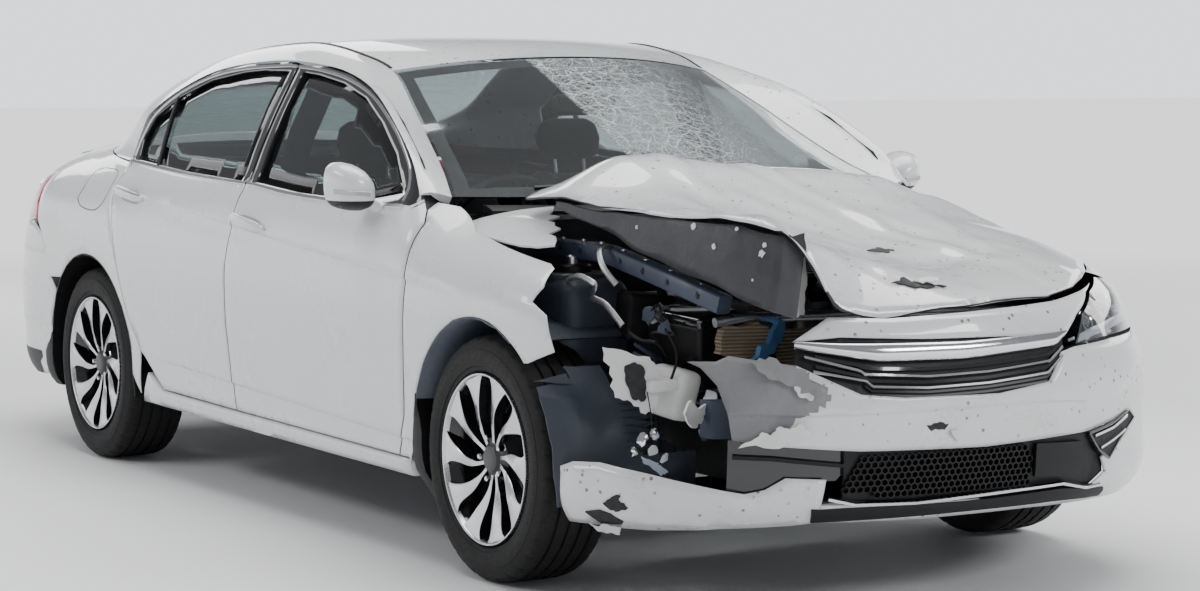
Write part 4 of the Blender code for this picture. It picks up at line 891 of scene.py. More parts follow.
def build_flanks():
    for side, hand in HANDS:
        skin = Flank(side)
        look = WHITE if side < 0 else WORN
        for end in ("front", "rear"):
            name = f"door_{end}_{hand}"
            put(refine(name, skin, 3, FLANK_SLICES, paint_rule=door_paint), f"{name}_skin", [look, GLOSS, TRIM], name,
                40, name)
            glass = f"glass_{end}_{hand}"
            put(refine(glass, skin, 2), f"{glass}_pane", GLASS, name, 40, glass)
        put(refine("wing_" + hand, skin, 3, FLANK_SLICES, [(FRONT_AXLE, ARCH)], panel_paint), f"wing_{hand}_skin",
            [look, TRIM], "shell", 40, "wing_" + hand)
        put(refine("quarter_" + hand, skin, 3, FLANK_SLICES, [(REAR_AXLE, ARCH)], panel_paint),
            f"quarter_{hand}_skin", [look, TRIM], "shell", 40, "quarter_" + hand)
        put(refine("sill_" + hand, skin, 2), f"sill_{hand}_skin", look, "shell", 40, "sill_" + hand)
        rows = [12 * k / 60 for k in range(61)]
        loft(f"roof_rail_{hand}_skin", [rail_ring(row, side) for row in rows], look, stands_for="roof_rail_" + hand,
            sharp=50)


def build_sheets():
    core = (0, 0.3, 0.6)
    for name, table, depth, look, gap, end, inlay, slot in (("roof", ROOF, SHEET, DENTED, EDGE_GAP, 0.003, 0.0,
            "white_paint"), ("windscreen", SCREEN, GLASS_WALL, SCREEN_GLASS, EDGE_GAP, 0.01, GLASS_WALL / 2,
            "glazing"), ("rear_window", BACKLIGHT, GLASS_WALL, GLASS, WINDOW_GAP, 0.01, GLASS_WALL, "glazing")):
        span = 1 - gap / 0.56
        bm = slab(spanning(table), lambda v, s=span: steps(40, -s, s), steps(28, end, 1 - end), depth, core, inlay)
        put(bm, name + "_sheet", look, "shell", 40, name, merge=False)
    low = LID_HALF - LID_TAPER
    widths = [(0.0, LID_HALF), (0.5, LID_HALF), (0.66, low), (1.0, low - 0.01)]

    def wide(v):
        for (v0, w0), (v1, w1) in zip(widths, widths[1:]):
            if v <= v1:
                return steps(32, -1, 1), w0 + (w1 - w0) * (v - v0) / (v1 - v0)

    def us(v):
        base, width = wide(v)
        return [u * width for u in base]

    levels = steps(14, 0.0, 0.5)[:-1] + steps(10, 0.5, 0.66)[:-1] + steps(12, 0.66, 1.0)
    bm = slab(lid_skin, us, levels, LID_WALL, (0, 1.2, 0.6))
    put(bm, "boot_lid_skin", WHITE, "boot_lid", 40, "boot_lid", merge=False)


# ---------------------------------------------------------------- wheels
SPOKES = 10
LIP = RIM_RADIUS - 0.0005
SPOKE_HALF = [(0.04, 0.006), (0.07, 0.0055), (0.095, 0.009), (0.13, 0.015), (0.165, 0.0215), (0.192, 0.029),
    (0.208, 0.037), (0.218, 0.046)]
SWIRL = [(0.04, -5.0), (0.08, -3.0), (0.12, 1.0), (0.15, 5.5), (0.19, 9.5), (0.218, 10.5)]
FACE_DEPTH = [(0.04, 0.03), (0.08, 0.024), (0.13, 0.015), (0.18, 0.009), (0.218, 0.006)]


def tyre_piece(name, centre, side, body):
    wall = TYRE_WIDTH / 2
    bead = RIM_RADIUS + 0.0004
    half = [(0.088, bead + 0.001), (0.094, bead + 0.001), (0.099, bead + 0.006), (0.1025, bead + 0.007),
        (0.1045, bead + 0.012), (0.1045, bead + 0.017), (0.108, bead + 0.019), (0.1105, 0.262), (wall, 0.272),
        (0.112, 0.284), (0.1105, 0.2915), (0.109, 0.2925), (0.107, 0.3), (0.1035, 0.309), (0.1, 0.316),
        (0.095, 0.3205), (0.088, 0.3238), (0.078, 0.3262), (0.064, 0.3272), (0.061, 0.3272), (0.06, 0.32),
        (0.052, 0.32), (0.051, 0.328), (0.024, 0.3284), (0.023, 0.3205), (0.015, 0.3205), (0.014, 0.3285)]
    profile = half + [(-a, r) for a, r in half[::-1]]
    inner = [(-0.084, bead), (0.084, bead)]
    loop = profile + inner
    steps_round = 198
    deep = {}
    for index, (along, radius) in enumerate(loop):
        if 0.3 < radius and 0.064 < abs(along) < 0.106:
            deep[index] = 0.0045 if abs(along) < 0.1 else 0.0025
        elif radius > 0.327 and abs(along) < 0.052:
            deep[index] = 0.003

    def ripple(k, index):
        if index not in deep:
            return 0.0
        along = loop[index][0]
        phase = (k + (2 if along > 0 else 0) + (1 if abs(along) < 0.03 else 0)) % 6
        return -deep[index] if phase == 0 else 0.0

    bm = bmesh.new()
    rings_into(bm, turned_rings(loop, centre, steps_round, side, ripple), closed=True)
    outward(bm)
    return put(bm, name, RUBBER, body, 28, name.replace("_cover", ""), merge=False)


def spoke_pieces(name, centre, side, body):
    """Barrel, lip, ten swept spokes, hub and nuts of one wheel."""
    face = RIM_WIDTH / 2
    bm = bmesh.new()
    barrel = [(face - 0.0015, LIP - 0.006), (face, LIP - 0.0045), (face, LIP - 0.001), (face - 0.003, LIP),
        (0.092, LIP), (0.088, LIP - 0.002), (0.072, LIP - 0.014), (0.03, LIP - 0.028), (-0.06, LIP - 0.026),
        (-0.088, LIP - 0.004), (-0.092, LIP), (-face + 0.002, LIP), (-face, LIP - 0.004), (-0.096, LIP - 0.01),
        (-0.062, LIP - 0.034), (0.028, LIP - 0.036), (0.064, LIP - 0.026), (0.082, LIP - 0.016), (0.094, LIP - 0.01)]
    faces = rings_into(bm, turned_rings(barrel, centre, 96, side), closed=True)
    for f in faces:
        mid = f.calc_center_median()
        along = side * (mid.x - centre[0])
        f.material_index = 0 if along > 0.09 else 1
    radii = [0.044, 0.058, 0.072, 0.086, 0.102, 0.118, 0.134, 0.15, 0.166, 0.182, 0.196, 0.208, 0.218, 0.2225]
    for k in range(SPOKES):
        base = 360.0 * k / SPOKES + 9.0
        pair = 2.2 if k % 2 else -2.2
        rings = []
        for r in radii:
            half = smooth(SPOKE_HALF, r)
            mid = math.radians(base + pair * (1 - ramp(0.05, 0.16, r)) * -2.0 + smooth(SWIRL, r))
            depth = smooth(FACE_DEPTH, r)
            wing = half / r
            twist = 0.0035 * math.sin(math.pi * ramp(0.06, 0.215, r))
            back = 0.02 + 0.014 * ramp(0.05, 0.2, r)
            ring = []
            for turn, low in ((-wing, depth + twist), (-wing * 0.86, depth + twist - 0.0015), (wing * 0.86,
                    depth - twist - 0.0015), (wing, depth - twist), (wing * 0.93, depth + back), (-wing * 0.93,
                    depth + back)):
                angle = mid + turn
                ring.append(Vector((centre[0] + side * (face - low), centre[1] + side * r * math.sin(angle),
                    centre[2] + r * math.cos(angle))))
            rings.append(ring)
        made = rings_into(bm, rings)
        for f in made:
            f.material_index = 1
        for section in range(len(rings) - 1):
            for index in (0, 1, 2):
                made[section * 6 + index].material_index = 0
    cap_profile = [(face - 0.016, 0.0001), (face - 0.0165, 0.02), (face - 0.018, 0.03), (face - 0.0215, 0.0345),
        (face - 0.026, 0.036), (face - 0.031, 0.0385), (face - 0.034, 0.052), (face - 0.042, 0.064), (face - 0.06,
        0.066), (0.0, 0.066), (0.0, 0.04), (-0.02, 0.036), (-0.02, 0.0001)]
    for f in rings_into(bm, turned_rings(cap_profile, centre, 48, side), closed=True):
        f.material_index = 2
    for k in range(5):
        angle = 2 * math.pi * (k + 0.25) / 5
        spot = (centre[0] + side * (face - 0.04), centre[1] + 0.0572 * math.sin(angle),
            centre[2] + 0.0572 * math.cos(angle))
        nut = [(0.022, 0.0001), (0.022, 0.006), (0.0205, 0.0085), (0.004, 0.0095), (0.002, 0.0115), (0.0, 0.0115),
            (0.0, 0.0001)]
        for f in rings_into(bm, turned_rings(nut, spot, 6, side), closed=True):
            f.material_index = 3
    outward(bm)
    piece = put(bm, name, [ALLOY, GLOSS, CAP, CHROME], body, 32, name.replace("_spokes", ""), merge=False)
    return piece


CAP = plain("hub_cap", (0.045, 0.046, 0.048), (0.065, 0.066, 0.068), 0.34, 0.5, 200)
DISC_FACE = plain("brake_disc", (0.26, 0.25, 0.24), (0.42, 0.41, 0.4), 0.25, 0.42, 90, 0.2, Metallic=1.0)


def brake_pieces(end, hand, side, centre, body):
    """Vented disc face and caliper behind the spokes."""
    disc = [(-0.044, 0.08), (-0.0435, 0.1545), (-0.045, 0.1558), (-0.052, 0.1558), (-0.052, 0.151), (-0.068, 0.151),
        (-0.068, 0.1558), (-0.075, 0.1558), (-0.076, 0.1545), (-0.076, 0.08)]
    bm = bmesh.new()
    rings_into(bm, turned_rings(disc, centre, 72, side), closed=True)
    outward(bm)
    put(bm, f"disc_{end}_{hand}", DISC_FACE, body, 30, merge=False)
    bm = bmesh.new()
    turn = math.radians(58 if end == "front" else -62)
    outer = 0.186 if end == "front" else 0.18
    for low, high, start, finish, r0, r1 in ((-0.092, -0.03, -21, 21, 0.118, outer), (-0.034, -0.02, -15, 15, 0.12,
            0.165), (-0.098, -0.086, -25, 25, 0.13, 0.16)):
        rings = []
        for k in range(9):
            angle = math.radians(start + (finish - start) * k / 8) + turn
            pinch = 0.004 * (abs(k - 4) / 4) ** 2
            ring = []
            for along, radius in ((low, r0 + pinch), (low, r1 - pinch - 0.006), (low + 0.006, r1 - pinch),
                    (high - 0.006, r1 - pinch), (high, r1 - pinch - 0.006), (high, r0 + pinch)):
                ring.append(Vector((centre[0] + side * along, centre[1] - radius * math.sin(angle),
                    centre[2] + radius * math.cos(angle))))
            rings.append(ring)
        rings_into(bm, rings)
    outward(bm)
    put(bm, f"caliper_{end}_{hand}", CAST, body, 35, merge=False)


def build_wheels():
    for axle, end in ((FRONT_AXLE, "front"), (REAR_AXLE, "rear")):
        for side, hand in HANDS:
            centre = (side * TRACK / 2, axle, TYRE_RADIUS)
            body = f"wheel_{end}_{hand}"
            tyre_piece(f"tyre_{end}_{hand}_cover", centre, side, body)
            spoke_pieces(f"rim_{end}_{hand}_spokes", centre, side, body)
            brake_pieces(end, hand, side, centre, "knuckle_" + hand if end == "front" else "shell")


# ---------------------------------------------------------------- glass trim, handles, mirrors, flaps
DLO_TOP = [(-0.932, 0.985), (-0.9, 1.06), (-0.845, 1.11), (-0.717, 1.187), (-0.518, 1.27), (-0.317, 1.318),
    (-0.113, 1.343), (0.04, 1.352), (0.154, 1.355), (0.446, 1.345), (0.695, 1.317), (0.905, 1.261), (1.045, 1.19),
    (1.09, 1.12), (1.108, 1.048)]
SPLIT = 0.068


def on_flank(side, y, z, lift=0.0):
    return Vector((side * (half_width(y, z) + lift), y, z))


def flank_normal(side, y, z):
    skin = lambda a, b: on_flank(side, a, b)
    normal = normal_at(skin, y, z, 1e-3, 1e-3)
    return normal if normal.x * side > 0 else -normal


def flank_line(side, pairs, lift=0.0, gap=0.02):
    flat = dense([Vector((0, y, z)) for y, z in pairs], gap)
    return [on_flank(side, p.y, p.z, lift) for p in flat]


def flank_strip(name, side, pairs, width, height, look, body, sink=0.0015):
    path = flank_line(side, pairs)
    ups = [flank_normal(side, p.y, p.z) for p in path]
    return loft(name, sweep_rings(path, ups, strip_section(width, height, sink)), look, body, sharp=50)


def plate(where, outline, lift, inward=0.004, cell=0.03):
    """Thin plate inside an outline given in a surface's own two coordinates."""
    pts = [Vector(p) for p in outline]
    edge = []
    for a, b in zip(pts, pts[1:] + pts[:1]):
        count = max(int((b - a).length / cell), 1)
        edge += [a.lerp(b, k / count) for k in range(count)]
    low = Vector((min(p.x for p in edge), min(p.y for p in edge)))
    high = Vector((max(p.x for p in edge), max(p.y for p in edge)))
    inner = []
    u = low.x + cell / 2
    while u < high.x:
        v = low.y + cell / 2
        while v < high.y:
            spot = Vector((u, v))
            if inside(spot, edge) and near_edge(spot, edge) > cell * 0.45:
                inner.append(spot)
            v += cell
        u += cell
    count = len(edge)
    verts, _, faces, *_ = mathutils.geometry.delaunay_2d_cdt(edge + inner,
        [(k, (k + 1) % count) for k in range(count)], [], 0, 1e-6)
    keep = [list(f) for f in faces if inside(sum((verts[i] for i in f), Vector((0, 0))) / len(f), edge)]
    bm = bmesh.new()
    tops = [bm.verts.new(where(v.x, v.y, lift)) for v in verts]
    lows = [bm.verts.new(where(v.x, v.y, lift - inward)) for v in verts]
    sides = set()
    for f in keep:
        bm.faces.new([tops[i] for i in f])
        bm.faces.new([lows[i] for i in reversed(f)])
        sides.update(zip(f, f[1:] + f[:1]))
    for i, j in sorted(sides):
        if (j, i) not in sides:
            bm.faces.new((tops[j], tops[i], lows[i], lows[j]))
    bmesh.ops.delete(bm, geom=[v for v in bm.verts if not v.link_faces], context="VERTS")
    outward(bm)
    return bm


def patch(side, outline, lift, inward=0.004, cell=0.03):
    """Thin plate on the flank inside an outline of (y, z)."""
    return plate(lambda y, z, up: on_flank(side, y, z, up), outline, lift, inward, cell)


def inside(spot, outline):
    hit = False
    for a, b in zip(outline, outline[1:] + outline[:1]):
        if (a.y > spot.y) != (b.y > spot.y) and spot.x < (b.x - a.x) * (spot.y - a.y) / (b.y - a.y) + a.x:
            hit = not hit
    return hit


def near_edge(spot, outline):
    best = 9.0
    for a, b in zip(outline, outline[1:] + outline[:1]):
        along = b - a
        t = max(0.0, min(1.0, (spot - a).dot(along) / max(along.length_squared, 1e-12)))
        best = min(best, (spot - a - along * t).length)
    return best


def build_trim():
    for side, hand in HANDS:
        front_top = [p for p in DLO_TOP if p[0] < SPLIT] + [(SPLIT - 0.013, 1.353)]
        rear_top = [(SPLIT + 0.004, 1.3535)] + [p for p in DLO_TOP if p[0] > 0.1]
        flank_strip(f"bright_front_top_{hand}", side, front_top, 0.011, 0.0035, CHROME, "door_front_" + hand)
        flank_strip(f"bright_rear_top_{hand}", side, rear_top, 0.011, 0.0035, CHROME, "door_rear_" + hand)
        front_low = [(y, z - 0.004) for y, z in BELT if y < 0.06] + [(0.088, 0.9935)]
        rear_low = [(0.1085, 0.9945)] + [(y, z - 0.004) for y, z in BELT if y > 0.11]
        flank_strip(f"bright_front_belt_{hand}", side, front_low, 0.013, 0.0045, CHROME, "door_front_" + hand)
        flank_strip(f"bright_rear_belt_{hand}", side, rear_low, 0.013, 0.0045, CHROME, "door_rear_" + hand)
        flank_strip(f"quarter_bar_{hand}", side, [(0.87, 1.02), (0.905, 1.245)], 0.02, 0.003, BLACK,
            "door_rear_" + hand, 0.008)
        for end, ends in (("front", ((-0.128, 0.866), (0.108, 0.891))), ("rear", ((0.85, 0.911), (1.1, 0.93)))):
            (y0, z0), (y1, z1) = ends
            span = y1 - y0
            body = f"door_{end}_{hand}"
            cup = []
            for k in range(28):
                angle = 2 * math.pi * k / 28
                u, v = math.cos(angle), math.sin(angle)
                y = y0 + span * (0.5 + 0.36 * abs(u) ** 0.6 * math.copysign(1, u))
                z = z0 + (z1 - z0) * (y - y0) / span - 0.002 + 0.021 * abs(v) ** 0.8 * math.copysign(1, v)
                cup.append((y, z))
            # grey plate on the flank: painted shade of the handle's recess
            put(patch(side, cup, 0.0012, 0.003, 0.02), f"handle_cup_{end}_{hand}", HANDLE_SHADE, body,
                30)
            rings = []
            for k in range(19):
                t = k / 18
                y, z = y0 + span * t, z0 + (z1 - z0) * t
                bow = 0.026 * (1 - abs(2 * t - 1) ** 3.2) + 0.005
                tall = 0.0135 * (1 - abs(2 * t - 1) ** 6) + 0.0045
                normal = flank_normal(side, y, z)
                base = on_flank(side, y, z)
                ring = []
                for i in range(12):
                    a = 2 * math.pi * i / 12
                    ring.append(base + normal * (bow + 0.0075 * math.cos(a)) + Vector((0, 0, 1)) * tall * math.sin(a))
                rings.append(ring)
            grip = [WHITE if side < 0 else WORN]
            loft(f"handle_{end}_{hand}", rings, grip, body)
            edge = []
            for k in range(13):
                t = 0.03 + 0.94 * k / 12
                y, z = y0 + span * t, z0 + (z1 - z0) * t
                bow = 0.026 * (1 - abs(2 * t - 1) ** 3.2) + 0.0115
                edge.append(on_flank(side, y, z + 0.0075) + flank_normal(side, y, z) * bow)
            loft(f"handle_trim_{end}_{hand}", sweep_rings(edge, flank_normal(side, y0 + span / 2, z0),
                strip_section(0.006, 0.003, 0.002)), CHROME, body)
        for base, low_z, high_z, y0, y1 in ((-1.052, 0.185, 0.47, -1.125, -1.062), (1.655, 0.215, 0.405, 1.65, 1.72)):
            rings = []
            for k in range(9):
                z = high_z + (low_z - high_z) * k / 8
                reach = math.sqrt(max(ARCH ** 2 - (z - TYRE_RADIUS) ** 2, 0.0))
                if base < 0:
                    start = FRONT_AXLE + reach - 0.001
                    first, last = start - 0.05 * ramp(0, 0.4, k / 8), start + 0.004
                else:
                    start = REAR_AXLE + reach + 0.001
                    first, last = start - 0.004, start + 0.06 * ramp(0, 0.4, k / 8) + 0.004
                out = half_width(base, max(z, 0.2)) - 0.001
                ring = [Vector((side * out, first, z)), Vector((side * (out + 0.004), (first + last) / 2, z)),
                    Vector((side * out, last, z)), Vector((side * (out - 0.2), last, z)), Vector((side * (out - 0.21),
                    (first + last) / 2, z)), Vector((side * (out - 0.2), first, z))]
                rings.append(ring)
            loft(f"mudflap_{'front' if base < 0 else 'rear'}_{hand}", rings, BLACK, "shell", sharp=45)
        flap = [(1.43, 0.89), (1.378, 0.865), (1.258, 0.86), (1.193, 0.9), (1.18, 0.984), (1.275, 0.998),
            (1.389, 0.99), (1.412, 0.932)]
        if side < 0:
            closed = dense([Vector((0, y, z)) for y, z in flap + flap[:1]], 0.01)
            path = [on_flank(side, p.y, p.z, 0.0002) for p in closed[:-1]]
            ups = [flank_normal(side, p.y, p.z) for p in path]
            rings = sweep_rings(path, ups, [(-0.0016, -0.001), (-0.0016, 0.0002), (0.0016, 0.0002), (0.0016, -0.001)])
            loft("fuel_flap_seam", rings, SEAM, "shell", closed=True)


def window_seals():
    """Dark printed band round the inside of each door glass."""
    for side, hand in HANDS:
        for end, window in (("front", FRONT_WINDOW), ("rear", REAR_WINDOW)):
            pts = [Vector(p) for p in window]
            path = []
            for a, b in zip(pts, pts[1:] + pts[:1]):
                count = max(int((b - a).length / 0.02), 1)
                path += [a.lerp(b, k / count) for k in range(count)]
            rings = []
            count = len(path)
            turn = 1.0 if sum(a.x * b.y - b.x * a.y for a, b in zip(path, path[1:] + path[:1])) > 0 else -1.0
            for k in range(count):
                along = (path[(k + 2) % count] - path[k - 2]).normalized()
                inward = Vector((-along.y, along.x)) * turn
                outer, inner = path[k] + inward * 0.004, path[k] + inward * 0.03
                rings.append([on_flank(side, outer.x, outer.y, -0.0148), on_flank(side, inner.x, inner.y, -0.0148),
                    on_flank(side, inner.x, inner.y, -0.0165), on_flank(side, outer.x, outer.y, -0.0165)])
            loft(f"window_seal_{end}_{hand}", rings, DARK_AND_PAINTED_SHADE, f"door_{end}_{hand}", closed=True,
                sharp=40)


def mirror_pieces():
    for side, hand in HANDS:
        body = "door_front_" + hand
        look = WHITE if side < 0 else WORN
        rows = [(0.893, 0.05, 0.034, 1.0, 0.0), (0.905, 0.074, 0.047, 1.006, 0.002), (0.925, 0.092, 0.06, 1.013,
            0.004), (0.95, 0.1, 0.066, 1.02, 0.006), (0.975, 0.098, 0.066, 1.025, 0.008), (0.995, 0.086, 0.061, 1.028,
            0.01), (1.008, 0.064, 0.049, 1.029, 0.012), (1.0155, 0.036, 0.03, 1.029, 0.013)]
        rings = []
        for x, deep, tall, z, back in rows:
            ring = []
            for k in range(28):
                a = 2 * math.pi * k / 28
                u, v = math.cos(a), math.sin(a)
                power = 0.62 if u > 0 else 0.85
                y = -0.785 + back + deep * 0.92 * math.copysign(abs(u) ** (power if u > 0 else 1.0),
                    u) * (0.62 if u > 0 else 1.0)
                ring.append(Vector((side * x, y, z + tall * math.copysign(abs(v) ** 0.75, v))))
            rings.append(ring)
        bm = bmesh.new()
        rings_into(bm, rings)
        outward(bm)
        bmesh.ops.bisect_plane(bm, geom=bm.verts[:] + bm.edges[:] + bm.faces[:], plane_co=(0, 0, 0.984), plane_no=(0,
            0, 1), dist=1e-5)
        for f in bm.faces:
            f.material_index = 1 if f.calc_center_median().z < 0.984 else 0
        put(bm, f"mirror_{hand}_shell", [look, BLACK], body, 45, "mirror_" + hand, merge=False)
        stalk = []
        for x, y, z, deep, tall in ((half_width(-0.8, 0.955) - 0.006, -0.8, 0.962, 0.042, 0.013), (0.889, -0.8, 0.969,
                0.044, 0.017), (0.905, -0.795, 0.982, 0.04, 0.018), (0.93, -0.79, 0.992, 0.034, 0.014)):
            stalk.append([Vector((side * x, y + deep * math.cos(2 * math.pi * k / 16),
                z + tall * math.sin(2 * math.pi * k / 16))) for k in range(16)])
        loft(f"mirror_{hand}_foot", stalk, look, body)
        lamp = []
        for k in range(12):
            t = k / 11
            x = 0.93 + 0.083 * t
            deep = 0.098 if t < 0.6 else 0.098 - 0.062 * ((t - 0.6) / 0.4) ** 1.6
            lamp.append(Vector((side * x, -0.779 - deep * 0.93, 1.004 + 0.006 * t)))
        loft(f"mirror_{hand}_indicator", sweep_rings(lamp, Vector((side * 0.25, -1, 0)).normalized(),
            strip_section(0.014, 0.0035, 0.006)), LAMP_GREY, body)
        glass = [[Vector((side * (0.953 + 0.05 * math.copysign(abs(math.cos(a)) ** 0.7, math.cos(a))), y,
            1.02 + 0.05 * math.copysign(abs(math.sin(a)) ** 0.7, math.sin(a)))) for a in [2 * math.pi * k / 24
            for k in range(24)]] for y in (-0.7325, -0.726)]
        loft(f"mirror_{hand}_glass", glass, CHROME, body)


# grey of the handle recess: painted shade
HANDLE_SHADE = plain("handle_cup_painted_shade", (0.3, 0.3, 0.31), (0.42, 0.42, 0.43), 0.3, 0.4)
LAMP_GREY = plain("indicator_grey", (0.3, 0.31, 0.33), (0.52, 0.53, 0.55), 0.12, 0.25, 120, 0.3, Coat_Weight=1.0)
SEAM = plain("shut_line", (0.03, 0.03, 0.03), (0.06, 0.06, 0.06), 0.6, 0.8)



# ---------------------------------------------------------------- nose
TORN = plain("torn_plastic", (0.05, 0.05, 0.055), (0.34, 0.34, 0.35), 0.5, 0.78, 30, 0.9, 0.006)
# Near-black fill: the printed window bands and the soot in the tail pipes, and painted shade in holes, gashes,
# pockets and under the engine bay.
DARK_AND_PAINTED_SHADE = plain("dark_and_painted_shade", (0.006, 0.006, 0.007), (0.02, 0.02, 0.022), 0.55, 0.8, 50, 0.4, 0.002)
STRIPE = plain("lamp_stripe", (0.5, 0.6, 0.72), (0.72, 0.79, 0.88), 0.1, 0.22, 60, 0.05, Coat_Weight=1.0)
DARK_CHROME = plain("dark_chrome", (0.16, 0.165, 0.175), (0.26, 0.265, 0.28), 0.12, 0.24, 60, 0.05, Metallic=1.0)
TURN = 0.0165
LEDGE = [(-44.0, 0.52), (-26.8, 0.516), (-18.5, 0.517), (-4.1, 0.519), (7.1, 0.521), (17.2, 0.512), (25.0, 0.5),
    (29.0, 0.522), (41.9, 0.568), (52.0, 0.59)]
TORN_AREA = [(-46.0, 0.665), (-38.9, 0.675), (-29.7, 0.628), (-24.4, 0.56), (-26.8, 0.524), (-30.2, 0.506),
    (-31.4, 0.459), (-38.6, 0.44), (-42.0, 0.48), (-44.0, 0.6)]
BAR_TOP = [(-30.0, 0.693), (-23.6, 0.687), (-3.0, 0.682), (17.2, 0.688)]
BAR_FOOT = [(-30.7, 0.676), (-18.0, 0.641), (-3.5, 0.638), (14.6, 0.653), (18.1, 0.684)]
STRIP_ONE = [(-28.6, 0.656), (-20.7, 0.621), (-20.0, 0.612), (-10.1, 0.601), (0.6, 0.604), (12.8, 0.618),
    (16.2, 0.648)]
STRIP_TWO = [(-27.4, 0.621), (-19.8, 0.595), (-19.0, 0.582), (-10.3, 0.573), (0.4, 0.576), (12.0, 0.589),
    (15.7, 0.627)]
FOG = [(20.9, 0.421), (26.6, 0.436), (32.1, 0.464), (34.4, 0.44), (29.1, 0.386), (26.3, 0.347), (23.6, 0.371)]
COMB = [(-23.9, 0.312), (-20.6, 0.418), (-8.2, 0.421), (9.2, 0.411), (9.2, 0.326), (8.8, 0.298), (-21.8, 0.306)]
PANEL = [(9.6, 0.411), (19.2, 0.404), (19.3, 0.316), (9.6, 0.326)]
HOOD_GASH = [(-0.165, -2.262), (-0.12, -2.238), (-0.06, -2.246), (0.005, -2.268), (-0.05, -2.276), (-0.11, -2.268)]
HOOD_TEAR = [(-0.02, -1.96), (0.035, -1.925), (0.075, -1.952), (0.04, -1.975), (0.01, -1.972)]


def linear(pairs, place):
    if place <= pairs[0][0]:
        return pairs[0][1]
    for (a, low), (b, high) in zip(pairs, pairs[1:]):
        if place <= b:
            return low + (high - low) * (place - a) / max(b - a, 1e-9)
    return pairs[-1][1]


def rough_noise(spot, scale):
    return mathutils.noise.noise(Vector(spot) * scale)


def ridge(spot, scale):
    return 0.5 - abs(rough_noise(spot, scale)) * 2.0


def jag(outline, amount, seed, per=4):
    """Torn edge: each side of an outline broken into uneven steps."""
    dice = random.Random(seed)
    points = []
    for (u0, v0), (u1, v1) in zip(outline, outline[1:] + outline[:1]):
        long = math.hypot(u1 - u0, v1 - v0)
        for k in range(per):
            t = k / per
            off = dice.uniform(-amount, amount) * long if k else 0.0
            points.append((u0 + (u1 - u0) * t - (v1 - v0) / max(long, 1e-9) * off, v0 + (v1 - v0) * t + (u1 - u0) /
                max(long, 1e-9) * off))
    return points


def to_segment(x, y, a, b):
    along = Vector((b[0] - a[0], b[1] - a[1]))
    t = max(0.0, min(1.0, (Vector((x, y)) - Vector(a)).dot(along) / along.length_squared))
    return (Vector((x, y)) - Vector(a) - along * t).length


def nose_shape(angle, z):
    """Pressed ledge of the bumper, and dents that grow towards the struck corner."""
    lift = 0.0
    below = linear(LEDGE, angle) - z
    if below > 0:
        lift -= 0.0075 * (1 - math.exp(-below / 0.006)) * math.exp(-below / 0.065)
    elif below > -0.05:
        lift += 0.004 * (1 + below / 0.05)
    hurt = ramp(-12, -36, angle)
    spot = (angle * TURN, z, 0.3)
    lift += hurt * (0.008 * ridge(spot, 7.0) + 0.004 * rough_noise(spot, 17.0))
    for middle, height, depth, reach in ((-1.0, 0.475, 0.003, 0.05), (-8.5, 0.47, 0.0035, 0.06), (14.0, 0.47, 0.003,
            0.05)):
        away = math.hypot((angle - middle) * TURN, z - height) / reach
        lift -= depth * math.exp(-away * away * 2.0)
    return max(min(lift, 0.006), -0.0085 if angle > -22 else -0.02)


def on_nose(angle, z, lift=0.0):
    spot = nose(angle, z)
    normal = normal_at(nose, angle, z, 0.3, 0.003)
    if normal.dot(spot - Vector((0, -1.2, 0.5))) < 0:
        normal = -normal
    return spot + normal * lift


def nose_normal(angle, z):
    return (on_nose(angle, z, 0.01) - on_nose(angle, z)).normalized()


def nose_line(pairs, step=1.0):
    out = []
    for (a, z0), (b, z1) in zip(pairs, pairs[1:]):
        count = max(int(abs(b - a) / step), 1)
        out += [(a + (b - a) * k / count, z0 + (z1 - z0) * k / count) for k in range(count)]
    return out + [pairs[-1]]


def nose_strip(name, pairs, width, height, look, lift=0.0):
    spots = nose_line(pairs)
    path = [on_nose(a, z, lift) for a, z in spots]
    ups = [nose_normal(a, z) for a, z in spots]
    return loft(name, sweep_rings(path, ups, strip_section(width, height, 0.004)), look, "shell", sharp=50)


def nose_plate(name, outline, lift, look, inward=0.004, cell=0.02, rough=0.0, torn=0):
    def where(u, v, up):
        rise = rough * rough_noise((u, v, 0.7), 25.0) if rough else 0.0
        return on_nose(u / TURN, v, up + rise)
    edge = [(a * TURN, z) for a, z in outline]
    bm = plate(where, jag(edge, 0.12, torn) if torn else edge, lift, inward, cell)
    return put(bm, name, look, "shell", 45, merge=False)


def band(name, top, foot, profile, look, step=1.0, ends=None):
    """Bar between an upper and a lower line; its profile is (share of the way down, lift)."""
    first, last = ends or (max(top[0][0], foot[0][0]), min(top[-1][0], foot[-1][0]))
    count = max(int((last - first) / step), 2)
    rings = []
    for k in range(count + 1):
        a = first + (last - first) * k / count
        high, low = linear(top, a), linear(foot, a)
        rings.append([on_nose(a, high + (low - high) * t, lift) for t, lift in profile])
    return loft(name, rings, look, "shell", sharp=45)


